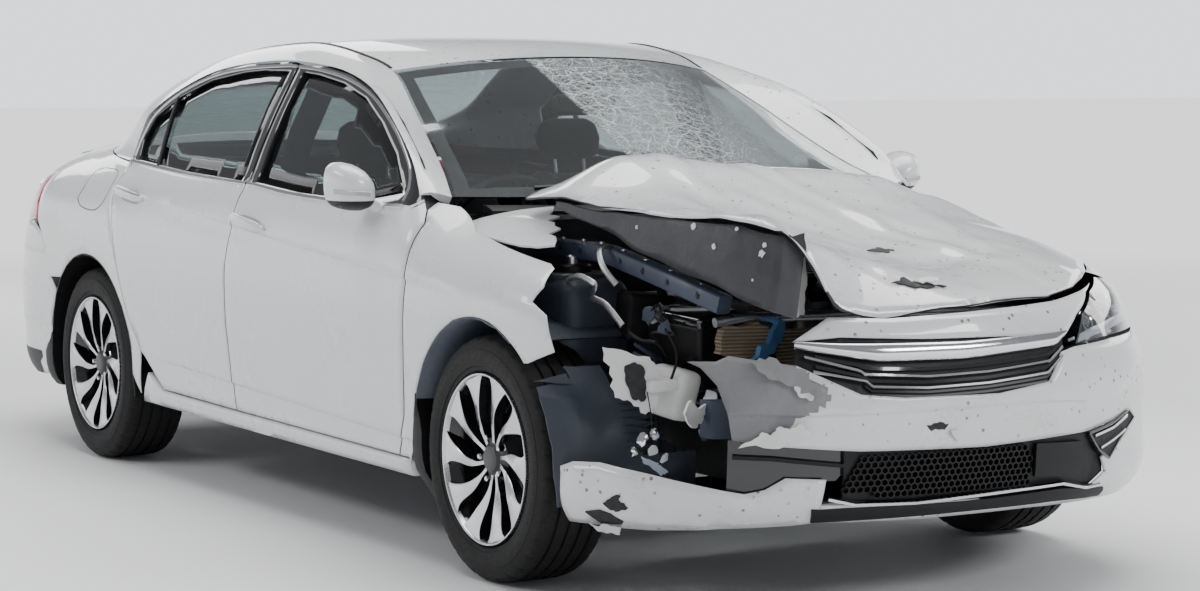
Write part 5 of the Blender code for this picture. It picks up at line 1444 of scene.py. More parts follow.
def honeycomb_piece(name, outline, pitch, wall, depth, lift, look):
    """Open mesh of six-sided cells on the nose."""
    edge = [Vector((a * TURN, z)) for a, z in outline]
    bm = bmesh.new()
    low_u, high_u = min(p.x for p in edge), max(p.x for p in edge)
    low_v, high_v = min(p.y for p in edge), max(p.y for p in edge)
    outer, inner = pitch / math.sqrt(3), pitch / math.sqrt(3) - wall
    row, v = 0, low_v
    while v < high_v:
        u = low_u + (pitch / 2 if row % 2 else 0.0)
        while u < high_u:
            spot = Vector((u, v))
            if inside(spot, edge) and near_edge(spot, edge) > pitch * 0.45:
                normal = nose_normal(u / TURN, v)
                wide, tight = ([nose((u + radius * math.sin(k * math.pi / 3)) / TURN,
                    v + radius * math.cos(k * math.pi / 3)) + normal * lift for k in range(6)] for radius in (outer,
                    inner))
                rings = [[bm.verts.new(p) for p in ring] for ring in (wide, tight,
                    [p - normal * depth for p in tight])]
                for a, b in zip(rings, rings[1:]):
                    for k in range(6):
                        j = (k + 1) % 6
                        bm.faces.new((a[k], a[j], b[j], b[k]))
            u += pitch
        v += pitch * math.sqrt(3) / 2
        row += 1
    bmesh.ops.remove_doubles(bm, verts=bm.verts, dist=0.0006)
    return put(bm, name, look, "shell", 30, merge=False)


def crumple(x, y):
    """Small folds of the struck bonnet on top of its large ones."""
    hurt = 0.25 + 0.75 * ramp(0.55, -0.45, x)
    front = ramp(-1.15, -1.6, y)
    spot = (x, y * 0.8, 0.0)
    lift = hurt * front * (0.01 * ridge(spot, 3.6) + 0.0045 * ridge(spot, 8.5))
    for a, b, height, width in (((-0.34, -1.18), (-0.3, -2.18), 0.007, 0.03), ((0.4, -1.18), (0.36, -2.22), 0.006,
            0.022), ((-0.05, -1.45), (0.3, -2.05), 0.01, 0.035), ((0.62, -1.35), (0.2, -1.8), -0.008, 0.04),
            ((-0.2, -2.12), (0.44, -1.98), -0.01, 0.035), ((0.1, -1.62), (0.66, -1.62), 0.006, 0.03)):
        away = to_segment(x, y, a, b) / width
        lift += height * math.exp(-away * away)
    return lift


def hood_height(x, y):
    return bonnet_skin(x, y).z + crumple(x, y)


def on_hood(x, y, lift=0.0):
    return Vector((x, y, hood_height(x, y) + lift))


def build_bonnet():
    bm = refine("bonnet", Top(hood_height), 3, paint_rule=lambda where, normal: 1 if normal.z < -0.2 else 0)
    put(bm, "bonnet_skin", [DENTED, UNDER], "shell", 32, "bonnet")
    # dark plates over the gash and tear: painted shade of the holes in the bonnet
    for name, outline in (("hood_gash", HOOD_GASH), ("hood_tear", HOOD_TEAR)):
        put(plate(on_hood, jag(outline, 0.16, len(name)), 0.0012, 0.003, 0.012), name, DARK_AND_PAINTED_SHADE, "shell",
            45, merge=False)
    flap = [(-0.09, -2.25), (-0.035, -2.246), (0.0, -2.262), (-0.045, -2.27)]
    put(plate(lambda x, y, up: on_hood(x, y, up + 0.014 * (x + 0.09) / 0.09), jag(flap, 0.12, 3), 0.004, 0.003,
        0.015), "hood_gash_flap", MATTE, "shell", 45, merge=False)


def build_nose():
    skin = Round(NOSE_CENTRE, -1, nose_shape)
    area = [Vector((a * TURN, z)) for a, z in TORN_AREA]

    def torn(where, normal):
        angle = math.degrees(math.atan2(where.x, NOSE_CENTRE - where.y))
        jag = Vector((0.015 * rough_noise(where, 23.0), 0.015 * rough_noise(where, 31.0)))
        return 1 if inside(Vector((angle * TURN, where.z)) + jag, area) else 0

    levels = [(Vector((0, 0, z)), Vector((0, 0, 1))) for z in (0.508, 0.517)]
    put(refine("front_bumper", skin, 4, levels, paint_rule=torn), "front_bumper_skin", [DENTED, TORN], "shell",
        35, "front_bumper")
    put(refine("bumper_corner", skin, 4), "bumper_corner_skin", DENTED, "shell", 35, "bumper_corner")
    put(refine("garnish", Round(NOSE_CENTRE, -1), 3), "garnish_skin", DENTED, "shell", 40, "garnish")
    # dark plate in the gash: painted shade of the hole
    nose_plate("bumper_gash", [(-11.9, 0.472), (-9.6, 0.479), (-7.5, 0.484), (-5.8, 0.476), (-5.3, 0.46),
        (-6.9, 0.462), (-8.3, 0.466), (-10.7, 0.469)], -0.006, DARK_AND_PAINTED_SHADE, 0.006, torn=5)
    nose_plate("bumper_gash_flap", [(-6.6, 0.464), (-5.2, 0.466), (-5.1, 0.433), (-6.1, 0.449)], 0.004, MATTE, 0.003)
    nose_plate("white_rag", [(-37.5, 0.44), (-35.4, 0.462), (-34.4, 0.478), (-33.2, 0.47), (-32.2, 0.492),
        (-30.8, 0.486), (-29.4, 0.5), (-28.1, 0.472), (-30.4, 0.452), (-33.0, 0.438)], 0.016, MATTE, 0.006,
        rough=0.012, torn=6)
    nose_plate("torn_tongue", [(-36.0, 0.64), (-33.5, 0.652), (-30.0, 0.625), (-26.0, 0.572), (-27.5, 0.56),
        (-31.0, 0.586), (-33.6, 0.6)], 0.02, TORN, 0.004, rough=0.018, torn=8)
    nose_plate("torn_blotch", [(-30.2, 0.585), (-28.0, 0.592), (-27.2, 0.57), (-27.8, 0.552), (-29.4, 0.56)], 0.014,
        MATTE, 0.004, rough=0.008, torn=9)
    bar = [(0.0, -0.004), (0.02, 0.006), (0.14, 0.0125), (0.34, 0.015), (0.6, 0.0145), (0.84, 0.0105), (0.98, 0.004),
        (1.0, -0.004)]
    band("grille_bar", BAR_TOP, BAR_FOOT, bar, CHROME, step=0.8)
    thin = [(0.0, -0.006), (0.0, 0.001), (0.2, 0.0035), (0.8, 0.0035), (1.0, 0.001), (1.0, -0.006)]
    for name, line in (("grille_strip_upper", STRIP_ONE), ("grille_strip_lower", STRIP_TWO)):
        band(name, [(a, z + 0.0045) for a, z in line], [(a, z - 0.0035) for a, z in line], thin, CHROME, step=0.5)
    for index, (share, a, b) in enumerate(((0.5, BAR_FOOT, STRIP_ONE), (0.5, STRIP_ONE, STRIP_TWO))):
        line = [(x, linear(a, x) * (1 - share) + linear(b, x) * share) for x in range(-27, 16)]
        band(f"grille_rib_{index}", [(x, z + 0.004) for x, z in line], [(x, z - 0.004) for x, z in line],
            [(0, -0.009), (0, -0.003), (1, -0.003), (1, -0.009)], GLOSS)
    for index in range(2):
        line = [(x, linear(STRIP_TWO, x) - 0.01 - 0.011 * index) for x in range(-20 + index, 14 - index)]
        band(f"grille_rib_{index + 2}", [(x, z + 0.003) for x, z in line], [(x, z - 0.003) for x, z in line],
            [(0, -0.009), (0, -0.004), (1, -0.004), (1, -0.009)], GLOSS)
    honeycomb_piece("lower_mesh", COMB, 0.0175, 0.0022, 0.016, 0.001, BLACK)
    nose_plate("lower_panel", PANEL, 0.003, BLACK, 0.01)
    # dark plate across the fog pocket: black plastic and painted shade of its recess
    nose_plate("fog_pocket", FOG, 0.0015, DARK_AND_PAINTED_SHADE, 0.006)
    nose_strip("fog_bar_upper", [(22.0, 0.414), (26.7, 0.427), (31.0, 0.451)], 0.009, 0.008, CHROME, 0.001)
    nose_strip("fog_bar_lower", [(23.7, 0.379), (26.9, 0.394), (30.7, 0.415)], 0.008, 0.008, CHROME, 0.001)
    rim = FOG + FOG[:1]
    nose_strip("fog_rim", rim, 0.007, 0.005, GLOSS, 0.0)
    nose_strip("lower_chrome", [(-25.3, 0.309), (-21.4, 0.293), (-11.7, 0.288), (5.8, 0.297), (15.7, 0.3),
        (21.6, 0.279), (25.1, 0.28)], 0.01, 0.006, CHROME, 0.001)
    band("chin", [(-27.6, 0.283), (-21.0, 0.284), (-2.9, 0.279), (15.4, 0.286), (27.0, 0.268)], [(-27.6, 0.248),
        (-21.0, 0.25), (-2.9, 0.252), (15.4, 0.252), (27.0, 0.246)], [(0, -0.012), (0, 0.004), (0.3, 0.008),
        (0.9, 0.008), (1, 0.002), (1, -0.012)], BLACK)


def build_headlamp():
    """Clear cover over a dark chromed housing with two projectors and a light strip."""
    middle = Vector((sum(a for a, _ in LAMP) / len(LAMP) * TURN, sum(z for _, z in LAMP) / len(LAMP)))

    def shrunk(share):
        return [((a * TURN - middle.x) * share + middle.x, (z - middle.y) * share + middle.y) for a, z in LAMP]

    def where(u, v, up):
        return on_nose(u / TURN, v, up)

    put(plate(where, shrunk(1.0), 0.0, 0.003, 0.02), "headlamp_left_cover", CLEAR, "shell", 45,
        "headlamp_left", merge=False)
    put(plate(where, shrunk(0.99), -0.052, 0.016, 0.03), "headlamp_left_housing", GLOSS, "shell", 45,
        "headlamp_left", merge=False)
    rings = []
    outline = shrunk(0.985)
    for k in range(len(outline)):
        u, v = outline[k]
        u1, v1 = outline[(k + 1) % len(outline)]
        for t in (0, 0.25, 0.5, 0.75):
            a, z = (u + (u1 - u) * t) / TURN, v + (v1 - v) * t
            rings.append([on_nose(a, z, up) for up in (-0.004, -0.055)] + [on_nose((a - middle.x / TURN) * 0.97 +
                middle.x / TURN, (z - middle.y) * 0.95 + middle.y, up) for up in (-0.055, -0.004)])
    loft("headlamp_left_wall", rings, DARK_CHROME, "shell", closed=True, sharp=50)
    for index, (angle, z, radius) in enumerate(((27.5, 0.712, 0.026), (36.0, 0.728, 0.028), (44.5, 0.738, 0.024))):
        centre, axis = on_nose(angle, z, -0.05), nose_normal(angle, z)
        across = axis.cross(Vector((0, 0, 1))).normalized()
        up = across.cross(axis).normalized()
        for part, profile, look, slot in (("ring", [(0.0, radius * 1.02), (0.022, radius * 1.16),
                (0.026, radius * 1.1), (0.024, radius * 0.96), (0.004, radius * 0.92)], CHROME, "bright_trim"),
                ("eye", [(0.002, radius * 0.9), (0.014, radius * 0.84), (0.022, radius * 0.62),
                (0.027, radius * 0.34), (0.029, 0.001), (0.001, 0.001)], GLOSS, "clear_lens")):
            loft(f"projector_{part}_{index}", [[centre + axis * d + (across * math.cos(t) + up * math.sin(t)) * r
                for d, r in profile] for t in turns(28)], look, "shell",
                closed=True)
    band("light_strip", [(20.6, 0.672), (27.0, 0.69), (35.0, 0.702), (46.0, 0.706), (56.0, 0.7)], [(20.6, 0.656),
        (27.0, 0.67), (35.0, 0.68), (46.0, 0.686), (56.0, 0.684)], [(0, -0.03), (0, -0.014), (0.5, -0.01),
        (1, -0.014), (1, -0.03)], STRIPE)



# ---------------------------------------------------------------- torn corner and engine bay
CHIPS = [(-0.637, -1.807, 0.952), (-0.592, -2.009, 0.961), (-0.581, -2.086, 0.916), (-0.558, -2.146, 0.963),
    (-0.521, -2.218, 0.926), (-0.526, -2.214, 0.904), (-0.544, -2.201, 0.838)]
LINER_EDGE = [(-0.9, 0.53), (-0.876, 0.541), (-0.82, 0.573), (-0.778, 0.591), (-0.698, 0.584), (-0.67, 0.553),
    (-0.64, 0.492), (-0.625, 0.415)]


def fins():
    """Radiator matrix: rows of fine tan fins."""
    m = Nodes("radiator_fins", Metallic=0.35)
    rows = m.add("TexWave", {"wave_type": "BANDS", "bands_direction": "Z"}, Vector=m.place(), Scale=34.0).outputs[1]
    fine = m.add("TexWave", {"wave_type": "BANDS", "bands_direction": "X"}, Vector=m.place(), Scale=150.0,
        Distortion=2.0).outputs[1]
    m.colour(m.mix(m.maths("MULTIPLY", rows, m.noise(9.0)), (0.1, 0.078, 0.05), (0.42, 0.34, 0.23)))
    m.rough(m.span(fine, 0, 1, 0.5, 0.75))
    m.bump(m.maths("ADD", rows, m.maths("MULTIPLY", fine, 0.4)), 0.7, 0.003)
    return m.material


FINS = fins()


class Loose:
    """No smooth surface behind the panel: only wrinkles."""

    def __init__(self, amount, scale):
        self.amount, self.scale = amount, scale

    def depth(self, p):
        return 0.0

    def place(self, p, depth):
        wave = Vector([rough_noise((p.x + k, p.y, p.z), self.scale) for k in (0.0, 3.1, 7.7)])
        return p + wave * self.amount


def chip(name, centre, normal, radius, look, seed, thick=0.002):
    """Small torn scrap lying on a surface."""
    dice = random.Random(seed)
    normal = Vector(normal).normalized()
    side = normal.cross(Vector((0.3, 0.2, 1))).normalized()
    up = normal.cross(side)
    bm = bmesh.new()
    count = 11
    ring = []
    for k in range(count):
        reach = radius * (0.62 + 0.55 * dice.random())
        turn = 2 * math.pi * k / count
        ring.append(Vector(centre) + side * reach * math.cos(turn) + up * reach * 1.15 * math.sin(turn))
    tops = [bm.verts.new(p + normal * thick) for p in ring]
    lows = [bm.verts.new(p - normal * 0.001) for p in ring]
    top_mid = bm.verts.new(Vector(centre) + normal * thick * 2.2)
    low_mid = bm.verts.new(Vector(centre) - normal * 0.001)
    for k in range(count):
        j = (k + 1) % count
        bm.faces.new((tops[k], tops[j], top_mid))
        bm.faces.new((lows[j], lows[k], low_mid))
        bm.faces.new((tops[k], lows[k], lows[j], tops[j]))
    outward(bm)
    return put(bm, name, look, "shell", 45, merge=False)


def upright(name, outline, level, look, thick=0.003, lean=0.0, rough=0.01, cell=0.02):
    """Sheet facing the nose: outline in (across, up) at a station along the car."""
    def where(u, v, up):
        wave = rough * rough_noise((u, v, level), 12.0)
        return Vector((u, level + lean * (u + 0.6) + wave - up, v))
    return put(plate(where, jag(outline, 0.1, len(name)), 0.0, thick, cell), name, look, "shell", 45,
        merge=False)


def build_bay():
    bm = refine("bonnet_frame", Loose(0.011, 8.0), 6)
    tree = mathutils.bvhtree.BVHTree.FromBMesh(bm)
    put(bm, "bonnet_frame_skin", UNDER, "shell", 35, "bonnet_frame")
    for index, spot in enumerate(CHIPS):
        where, normal, _, _ = tree.find_nearest(Vector(spot))
        if normal.dot(Vector((-0.9, -0.4, 0))) < 0:
            normal = -normal
        chip(f"frame_hole_{index}", where + normal * 0.0015, normal, (0.005, 0.009, 0.006, 0.005, 0.007, 0.009,
            0.008)[index], MATTE, index + 3)
    upright("folded_piece", [(-0.5, 0.866), (-0.478, 0.884), (-0.452, 0.905), (-0.405, 0.9), (-0.392, 0.82),
        (-0.402, 0.752), (-0.44, 0.744), (-0.476, 0.762), (-0.5, 0.828)], -2.283, MATTE, lean=0.3, rough=0.014)
    upright("fold_shadow", [(-0.462, 0.905), (-0.452, 0.946), (-0.405, 0.952), (-0.396, 0.9)], -2.281, DARK_AND_PAINTED_SHADE,
        lean=0.3, rough=0.006)
    bm = refine("liner_front_right", Loose(0.004, 14.0), 3)
    doomed = []
    for face in bm.faces:
        spot = face.calc_center_median()
        if spot.y < -1.655:
            limit = linear(LINER_EDGE, spot.x) if spot.x < -0.625 else 0.36
            limit += 0.35 * max(spot.y + 1.74, 0.0) + 0.014 * rough_noise(spot, 45.0)
            if spot.z > limit:
                doomed.append(face)
    bmesh.ops.delete(bm, geom=doomed, context="FACES")
    put(bm, "liner_front_right_skin", SLATE, "shell", 40, "liner_front_right")
    edge = [(-0.748, -1.135), (-0.627, -1.188), (-0.548, -1.232)]
    edge += jag([(-0.548, -1.232), (-0.645, -1.403), (-0.745, -1.575)], 0.1, 9, 6)[:13]
    edge += [(-0.776, -1.54), (-0.794, -1.48), (-0.799, -1.417), (-0.8, -1.294), (-0.788, -1.2)]
    put(plate(lambda x, y, up: Vector((x, y, crown(x, y, FRONT_SHOULDER, smooth(HOOD, y)) - 0.002 + up)), edge, 0.0,
        0.005, 0.03), "bonnet_corner", WHITE, "shell", 45, merge=False)
    # upper rail, strut tower and brackets
    rail = dense([(-0.6, -1.14, 0.872), (-0.603, -1.4, 0.874), (-0.603, -1.6, 0.872), (-0.6, -1.75, 0.85),
        (-0.592, -1.92, 0.818), (-0.56, -2.1, 0.772)], 0.02)
    loft("upper_rail", sweep_rings(rail, Vector((0, 0, 1)), [(-0.024, -0.022), (-0.024, 0.016), (-0.018, 0.022),
        (0.018, 0.022), (0.024, 0.016), (0.024, -0.022), (0.018, -0.026), (-0.018, -0.026)]), NAVY,
        sharp=50)
    for index in range(9):
        spot = rail[3 + index * 5]
        # dark discs on the rail: painted shade of its holes
        chip(f"rail_hole_{index}", spot + Vector((-0.0245, 0, 0.0)), (-1, 0, 0), 0.0085, DARK_AND_PAINTED_SHADE, 40 + index,
            0.001)
        loft(f"rail_bolt_{index}", [[spot + Vector((0.007 * math.cos(t), 0.022 + 0.007 * math.sin(t), h))
            for h in (0.02, 0.028)] + [spot + Vector((0, 0.022, 0.028)), spot + Vector((0, 0.022, 0.02))]
            for t in turns(10)], SATIN, closed=True)
    rounded_box("strut_tower", (-0.735, -1.6, 0.56), (-0.52, -1.33, 0.8), 0.045, SLATE,
        turn=(0, 0, 6), segments=4)
    for index, (radius, low, high, look) in enumerate(((0.085, 0.795, 0.815, STEEL), (0.052, 0.812, 0.836, BLACK),
            (0.016, 0.834, 0.86, SATIN))):
        profile = [(low, radius), (high - 0.004, radius), (high, radius - 0.004), (high, 0.001), (low, 0.001)]
        loft(f"strut_mount_{index}", [[Vector((-0.628 + r * math.cos(t), -1.465 + r * math.sin(t), h)) for h,
            r in profile] for t in turns(36)], look, closed=True)
    for index, points in enumerate((((-0.7, -1.56, 0.8), (-0.7, -1.623, 0.816), (-0.7, -1.704, 0.798), (-0.69, -1.674,
            0.765), (-0.68, -1.724, 0.748), (-0.672, -1.794, 0.699)), ((-0.608, -1.64, 0.891), (-0.632, -1.646,
            0.891), (-0.66, -1.66, 0.88), (-0.672, -1.7, 0.842), (-0.66, -1.745, 0.8)))):
        strip(f"wing_bracket_{index}", points, (-0.8, -0.4, 0.4), 0.016, 0.003, BARE, gap=0.01)
    # radiator, its tanks and bars
    core = rounded_box("radiator_core", (-0.372, -2.046, 0.312), (0.372, -1.996, 0.69), 0.002, FINS)
    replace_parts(core, "radiator")
    for index, (low, high) in enumerate((((-0.4, -2.05, 0.3), (-0.366, -1.99, 0.7)), ((0.366, -2.05, 0.3),
            (0.4, -1.99, 0.7)))):
        rounded_box(f"radiator_tank_{index}", low, high, 0.008, BLACK)
    tube("radiator_bar", [(-0.56, -2.055, 0.722), (-0.455, -2.055, 0.733), (-0.392, -2.05, 0.728), (0.1, -2.052,
        0.722), (0.4, -2.045, 0.716)], 0.013, SATIN)
    upright("radiator_bent", [(-0.535, 0.64), (-0.525, 0.7), (-0.44, 0.722), (-0.405, 0.7), (-0.405, 0.62),
        (-0.455, 0.6)], -2.03, FINS, 0.03, lean=-0.25)
    upright("blue_bar", [(-0.487, 0.628), (-0.43, 0.688), (-0.41, 0.734), (-0.388, 0.716), (-0.402, 0.672),
        (-0.448, 0.624)], -2.12, BLUE, 0.02, rough=0.006)
    # lamp carrier with a hole of painted shade, lamp remains and shards
    upright("lamp_carrier", [(-0.8, 0.66), (-0.745, 0.648), (-0.69, 0.634), (-0.668, 0.6), (-0.672, 0.505),
        (-0.7, 0.488), (-0.735, 0.52), (-0.772, 0.532), (-0.784, 0.592)], -1.985, MATTE, lean=-0.35)
    # dark plate on the carrier: painted shade of the hole
    upright("burnt_hole", [(-0.752, 0.612), (-0.728, 0.622), (-0.705, 0.606), (-0.698, 0.56), (-0.706, 0.522),
        (-0.734, 0.528), (-0.748, 0.566)], -1.989, DARK_AND_PAINTED_SHADE, lean=-0.35)
    rounded_box("carrier_bracket", (-0.7, -1.982, 0.545), (-0.6, -1.93, 0.575), 0.006, MATTE)
    for index, (x, y, z, r) in enumerate(((-0.735, -1.99, 0.43, 0.016), (-0.715, -2.01, 0.405, 0.014), (-0.752, -1.98,
            0.4, 0.011), (-0.7, -2.0, 0.44, 0.01), (-0.722, -2.02, 0.452, 0.01), (-0.69, -2.02, 0.385, 0.012))):
        chip(f"lamp_shard_{index}", (x, y, z), (-0.4 + 0.2 * index, -0.9, 0.3 - 0.15 * index), r, (CHROME, MATTE,
            CHROME, STRIPE, CHROME, STRIPE)[index], 60 + index, 0.006)
    upright("lamp_strip_scrap", [(-0.748, 0.392), (-0.7, 0.372), (-0.668, 0.346), (-0.69, 0.338), (-0.74, 0.372)],
        -2.01, STRIPE, rough=0.006)
    upright("white_shard", [(-0.7, 0.508), (-0.676, 0.54), (-0.648, 0.516), (-0.612, 0.528), (-0.618, 0.5),
        (-0.64, 0.478), (-0.676, 0.472)], -2.12, MATTE, thick=0.01, lean=0.3, rough=0.035, cell=0.012)
    tube("shard_wire", [(-0.7, -1.96, 0.545), (-0.706, -1.985, 0.5), (-0.722, -2.02, 0.452), (-0.7, -2.0, 0.44),
        (-0.735, -1.99, 0.43), (-0.752, -1.98, 0.4), (-0.715, -2.01, 0.405), (-0.69, -2.02, 0.385), (-0.698, -2.01,
        0.366)], 0.0015, BLACK, gap=0.01, sides=6)
    tube("blue_bolt", [(-0.408, -2.126, 0.722), (-0.408, -2.05, 0.727)], 0.008, BLUE, sides=10)
    # black ducts between the torn bumper and its lower corner
    nose_plate("lower_duct", [(-39.0, 0.452), (-34.7, 0.452), (-22.4, 0.436), (-20.4, 0.42), (-23.9, 0.35),
        (-31.4, 0.352), (-35.0, 0.326), (-39.2, 0.322)], -0.02, GLOSS, 0.008)
    nose_strip("duct_lip", [(-38.4, 0.412), (-33.0, 0.408), (-22.6, 0.388)], 0.012, 0.012, BLACK, -0.018)
    # engine cover, boxes, bottles and hoses
    rounded_box("engine_cover", (-0.25, -1.79, 0.738), (0.26, -1.43, 0.8), 0.022, BLACK,
        segments=4)
    for index in range(5):
        rounded_box(f"cover_rib_{index}", (-0.215, -1.75 + 0.064 * index, 0.796), (0.225, -1.722 + 0.064 * index,
            0.808), 0.004, GLOSS)
    for index, x in enumerate((-0.17, -0.05, 0.07, 0.19)):
        tube(f"intake_runner_{index}", [(x, -1.8, 0.77), (x, -1.865, 0.755), (x, -1.885, 0.69), (x, -1.87, 0.6)],
            0.026, CAST, sides=14)
    rounded_box("filter_box", (-0.545, -1.93, 0.545), (-0.42, -1.72, 0.716), 0.016, BLACK,
        turn=(4, -6, 9))
    rounded_box("filter_lid", (-0.552, -1.936, 0.7), (-0.414, -1.714, 0.74), 0.012, GLOSS,
        turn=(4, -6, 9))
    rounded_box("fuse_box", (-0.575, -1.69, 0.64), (-0.44, -1.56, 0.765), 0.012, TRIM,
        turn=(0, 5, -8))
    rounded_box("battery", (0.33, -1.73, 0.56), (0.56, -1.48, 0.77), 0.01, TRIM)
    rounded_box("washer_bottle", (-0.64, -1.985, 0.47), (-0.56, -1.86, 0.6), 0.022, MATTE,
        turn=(8, 10, 14))
    tube("bay_pipe_0", [(-0.47, -1.66, 0.77), (-0.474, -1.758, 0.662), (-0.472, -1.775, 0.627), (-0.476, -1.76, 0.56),
        (-0.47, -1.76, 0.44)], 0.013, BLACK)
    tube("bay_pipe_1", [(-0.5, -1.66, 0.75), (-0.505, -1.768, 0.65), (-0.506, -1.785, 0.6), (-0.51, -1.78, 0.45)],
        0.006, SATIN)
    tube("upper_hose", [(0.25, -1.83, 0.64), (0.27, -1.92, 0.69), (0.3, -1.98, 0.69)], 0.022, RUBBER)
    loom = dense([(-0.48, -1.76, 0.59), (-0.54, -1.83, 0.56), (-0.575, -1.9, 0.53), (-0.605, -1.93, 0.52)], 0.01)
    tube("bay_loom", loom, 0.009, BLACK)
    dice = random.Random(11)
    strands = []
    for index in range(16):
        spot = Vector((dice.uniform(-0.64, -0.44), dice.uniform(-1.98, -1.56), dice.uniform(0.5, 0.76)))
        spot.y = min(spot.y, STEER_CLEAR)
        points = [spot]
        for _ in range(4):
            spot = spot + Vector((dice.uniform(-0.045, 0.045), dice.uniform(-0.075, 0.075), dice.uniform(-0.085,
                0.04)))
            spot.x = min(max(spot.x, -0.66), -0.43)
            spot.y = min(spot.y, STEER_CLEAR)
            spot.z = max(spot.z, 0.38)
            points.append(spot)
        points.append(loom[index % len(loom)])
        strands += points
        tube(f"bay_hose_{index:02d}", points, dice.choice((0.0028, 0.0035, 0.005)), dice.choice((BLACK, TRIM, NAVY,
            STEEL)), gap=0.012, sides=8)
    for index in range(10):
        spot = (dice.uniform(-0.64, -0.46), dice.uniform(-2.0, -1.7), dice.uniform(0.42, 0.74))
        spot = min(strands, key=lambda point: (point - Vector(spot)).length)
        chip(f"bay_scrap_{index}", spot, (-0.6, dice.uniform(-1, -0.3), dice.uniform(-0.5, 0.6)), dice.uniform(0.01,
            0.024), dice.choice((STEEL, SATIN, NAVY, BARE)), 80 + index, 0.003)
    # struck corner: notch and hole as dark plates of painted shade, and a hanging flap
    nose_plate("corner_notch", [(-57.2, 0.282), (-55.6, 0.3), (-54.0, 0.312), (-54.6, 0.292), (-53.0, 0.276),
        (-55.2, 0.262), (-56.4, 0.27)], 0.0022, DARK_AND_PAINTED_SHADE, 0.006, cell=0.012, torn=3)
    nose_plate("corner_hole", [(-60.8, 0.252), (-58.0, 0.262), (-56.2, 0.254), (-54.4, 0.236), (-54.8, 0.228),
        (-58.4, 0.224)], 0.0022, DARK_AND_PAINTED_SHADE, 0.006, cell=0.012)
    nose_plate("corner_flap", [(-60.4, 0.226), (-57.0, 0.23), (-54.8, 0.226), (-55.6, 0.206), (-58.2, 0.198)], 0.01,
        MATTE, 0.003, rough=0.012, cell=0.012, torn=7)
    # under trays below the engine: a real part whose near-black colour is also painted shade under the bay
    rounded_box("under_tray", (-0.61, -2.06, 0.236), (0.61, -1.79, 0.246), 0.004, DARK_AND_PAINTED_SHADE)
    rounded_box("under_tray_rear", (-0.42, -1.795, 0.236), (0.42, -1.54, 0.246), 0.004, DARK_AND_PAINTED_SHADE)



# ---------------------------------------------------------------- cabin
VOXEL, QUICK_VOXEL = 0.006, 0.012
SEWN, SLACK = 0.004, 0.01  # distances from a seam: held fast, held loosely
STUFFING = 4.0
LAST_FRAME = 20


def pad(name, rings, seams, look, body="shell", cap=0.016):
    """Stuffed cover: swollen by cloth simulation between its sewn seams."""
    bm = bmesh.new()
    rings_into(bm, rings)
    outward(bm)
    piece = put(bm, name, look, body, 60, merge=False)
    view = bpy.context.view_layer
    view.objects.active = piece

    def settle(kind, **facts):
        step = piece.modifiers.new(kind.lower(), kind)
        for key, value in facts.items():
            setattr(step, key, value)
        return step

    def bake():
        graph = bpy.context.evaluated_depsgraph_get()
        made = bpy.data.meshes.new_from_object(piece.evaluated_get(graph))
        piece.modifiers.clear()
        old = piece.data
        piece.data = made
        bpy.data.meshes.remove(old)

    settle("REMESH", mode="VOXEL", voxel_size=VOXEL, use_smooth_shade=True)
    bake()
    sewn = piece.vertex_groups.new(name="sewn")
    for v in piece.data.vertices:
        near = min((seam(v.co) for seam in seams), default=1.0)
        if near < SEWN:
            sewn.add([v.index], 1.0, "REPLACE")
        elif near < SLACK:
            sewn.add([v.index], 0.25, "REPLACE")
    cloth = settle("CLOTH")
    cloth.settings.quality = 4
    cloth.settings.mass = 0.3
    cloth.settings.tension_stiffness = cloth.settings.compression_stiffness = 12.0
    cloth.settings.use_pressure = True
    cloth.settings.uniform_pressure_force = STUFFING
    cloth.settings.effector_weights.gravity = 0.0
    cloth.settings.vertex_group_mass = "sewn"
    cloth.point_cache.frame_start, cloth.point_cache.frame_end = 1, LAST_FRAME
    rest = [v.co.copy() for v in piece.data.vertices]
    for frame_number in range(1, LAST_FRAME + 1):
        scene.frame_set(frame_number)
    bake()
    for v, start in zip(piece.data.vertices, rest):
        move = v.co - start
        if move.length > cap:
            v.co = start + move.normalized() * cap
    scene.frame_set(1)
    piece.data.materials.clear()
    piece.data.materials.append(look)
    smoothing = settle("CORRECTIVE_SMOOTH", iterations=3)
    smoothing.use_only_smooth = True
    bake()
    piece.data.polygons.foreach_set("use_smooth", [True] * len(piece.data.polygons))
    return piece


def bolster_rings(path, width, thick, side_rise, corners=18):
    """Rings across a seat part: rounded, with side bolsters that stand proud."""
    rings = []
    for k, (spot, up, share) in enumerate(path):
        ring = []
        half = width * share / 2
        for i in range(corners):
            turn = 2 * math.pi * i / corners
            c, s = math.cos(turn), math.sin(turn)
            across = half * math.copysign(abs(c) ** 0.45, c)
            high = thick[k] / 2 * math.copysign(abs(s) ** 0.6, s)
            if s > 0:
                high += side_rise * (ramp(0.45, 0.9, abs(across) / half) - 0.5)
            ring.append(Vector(spot) + Vector((across, 0, 0)) + Vector(up) * high)
        rings.append(ring)
    return rings


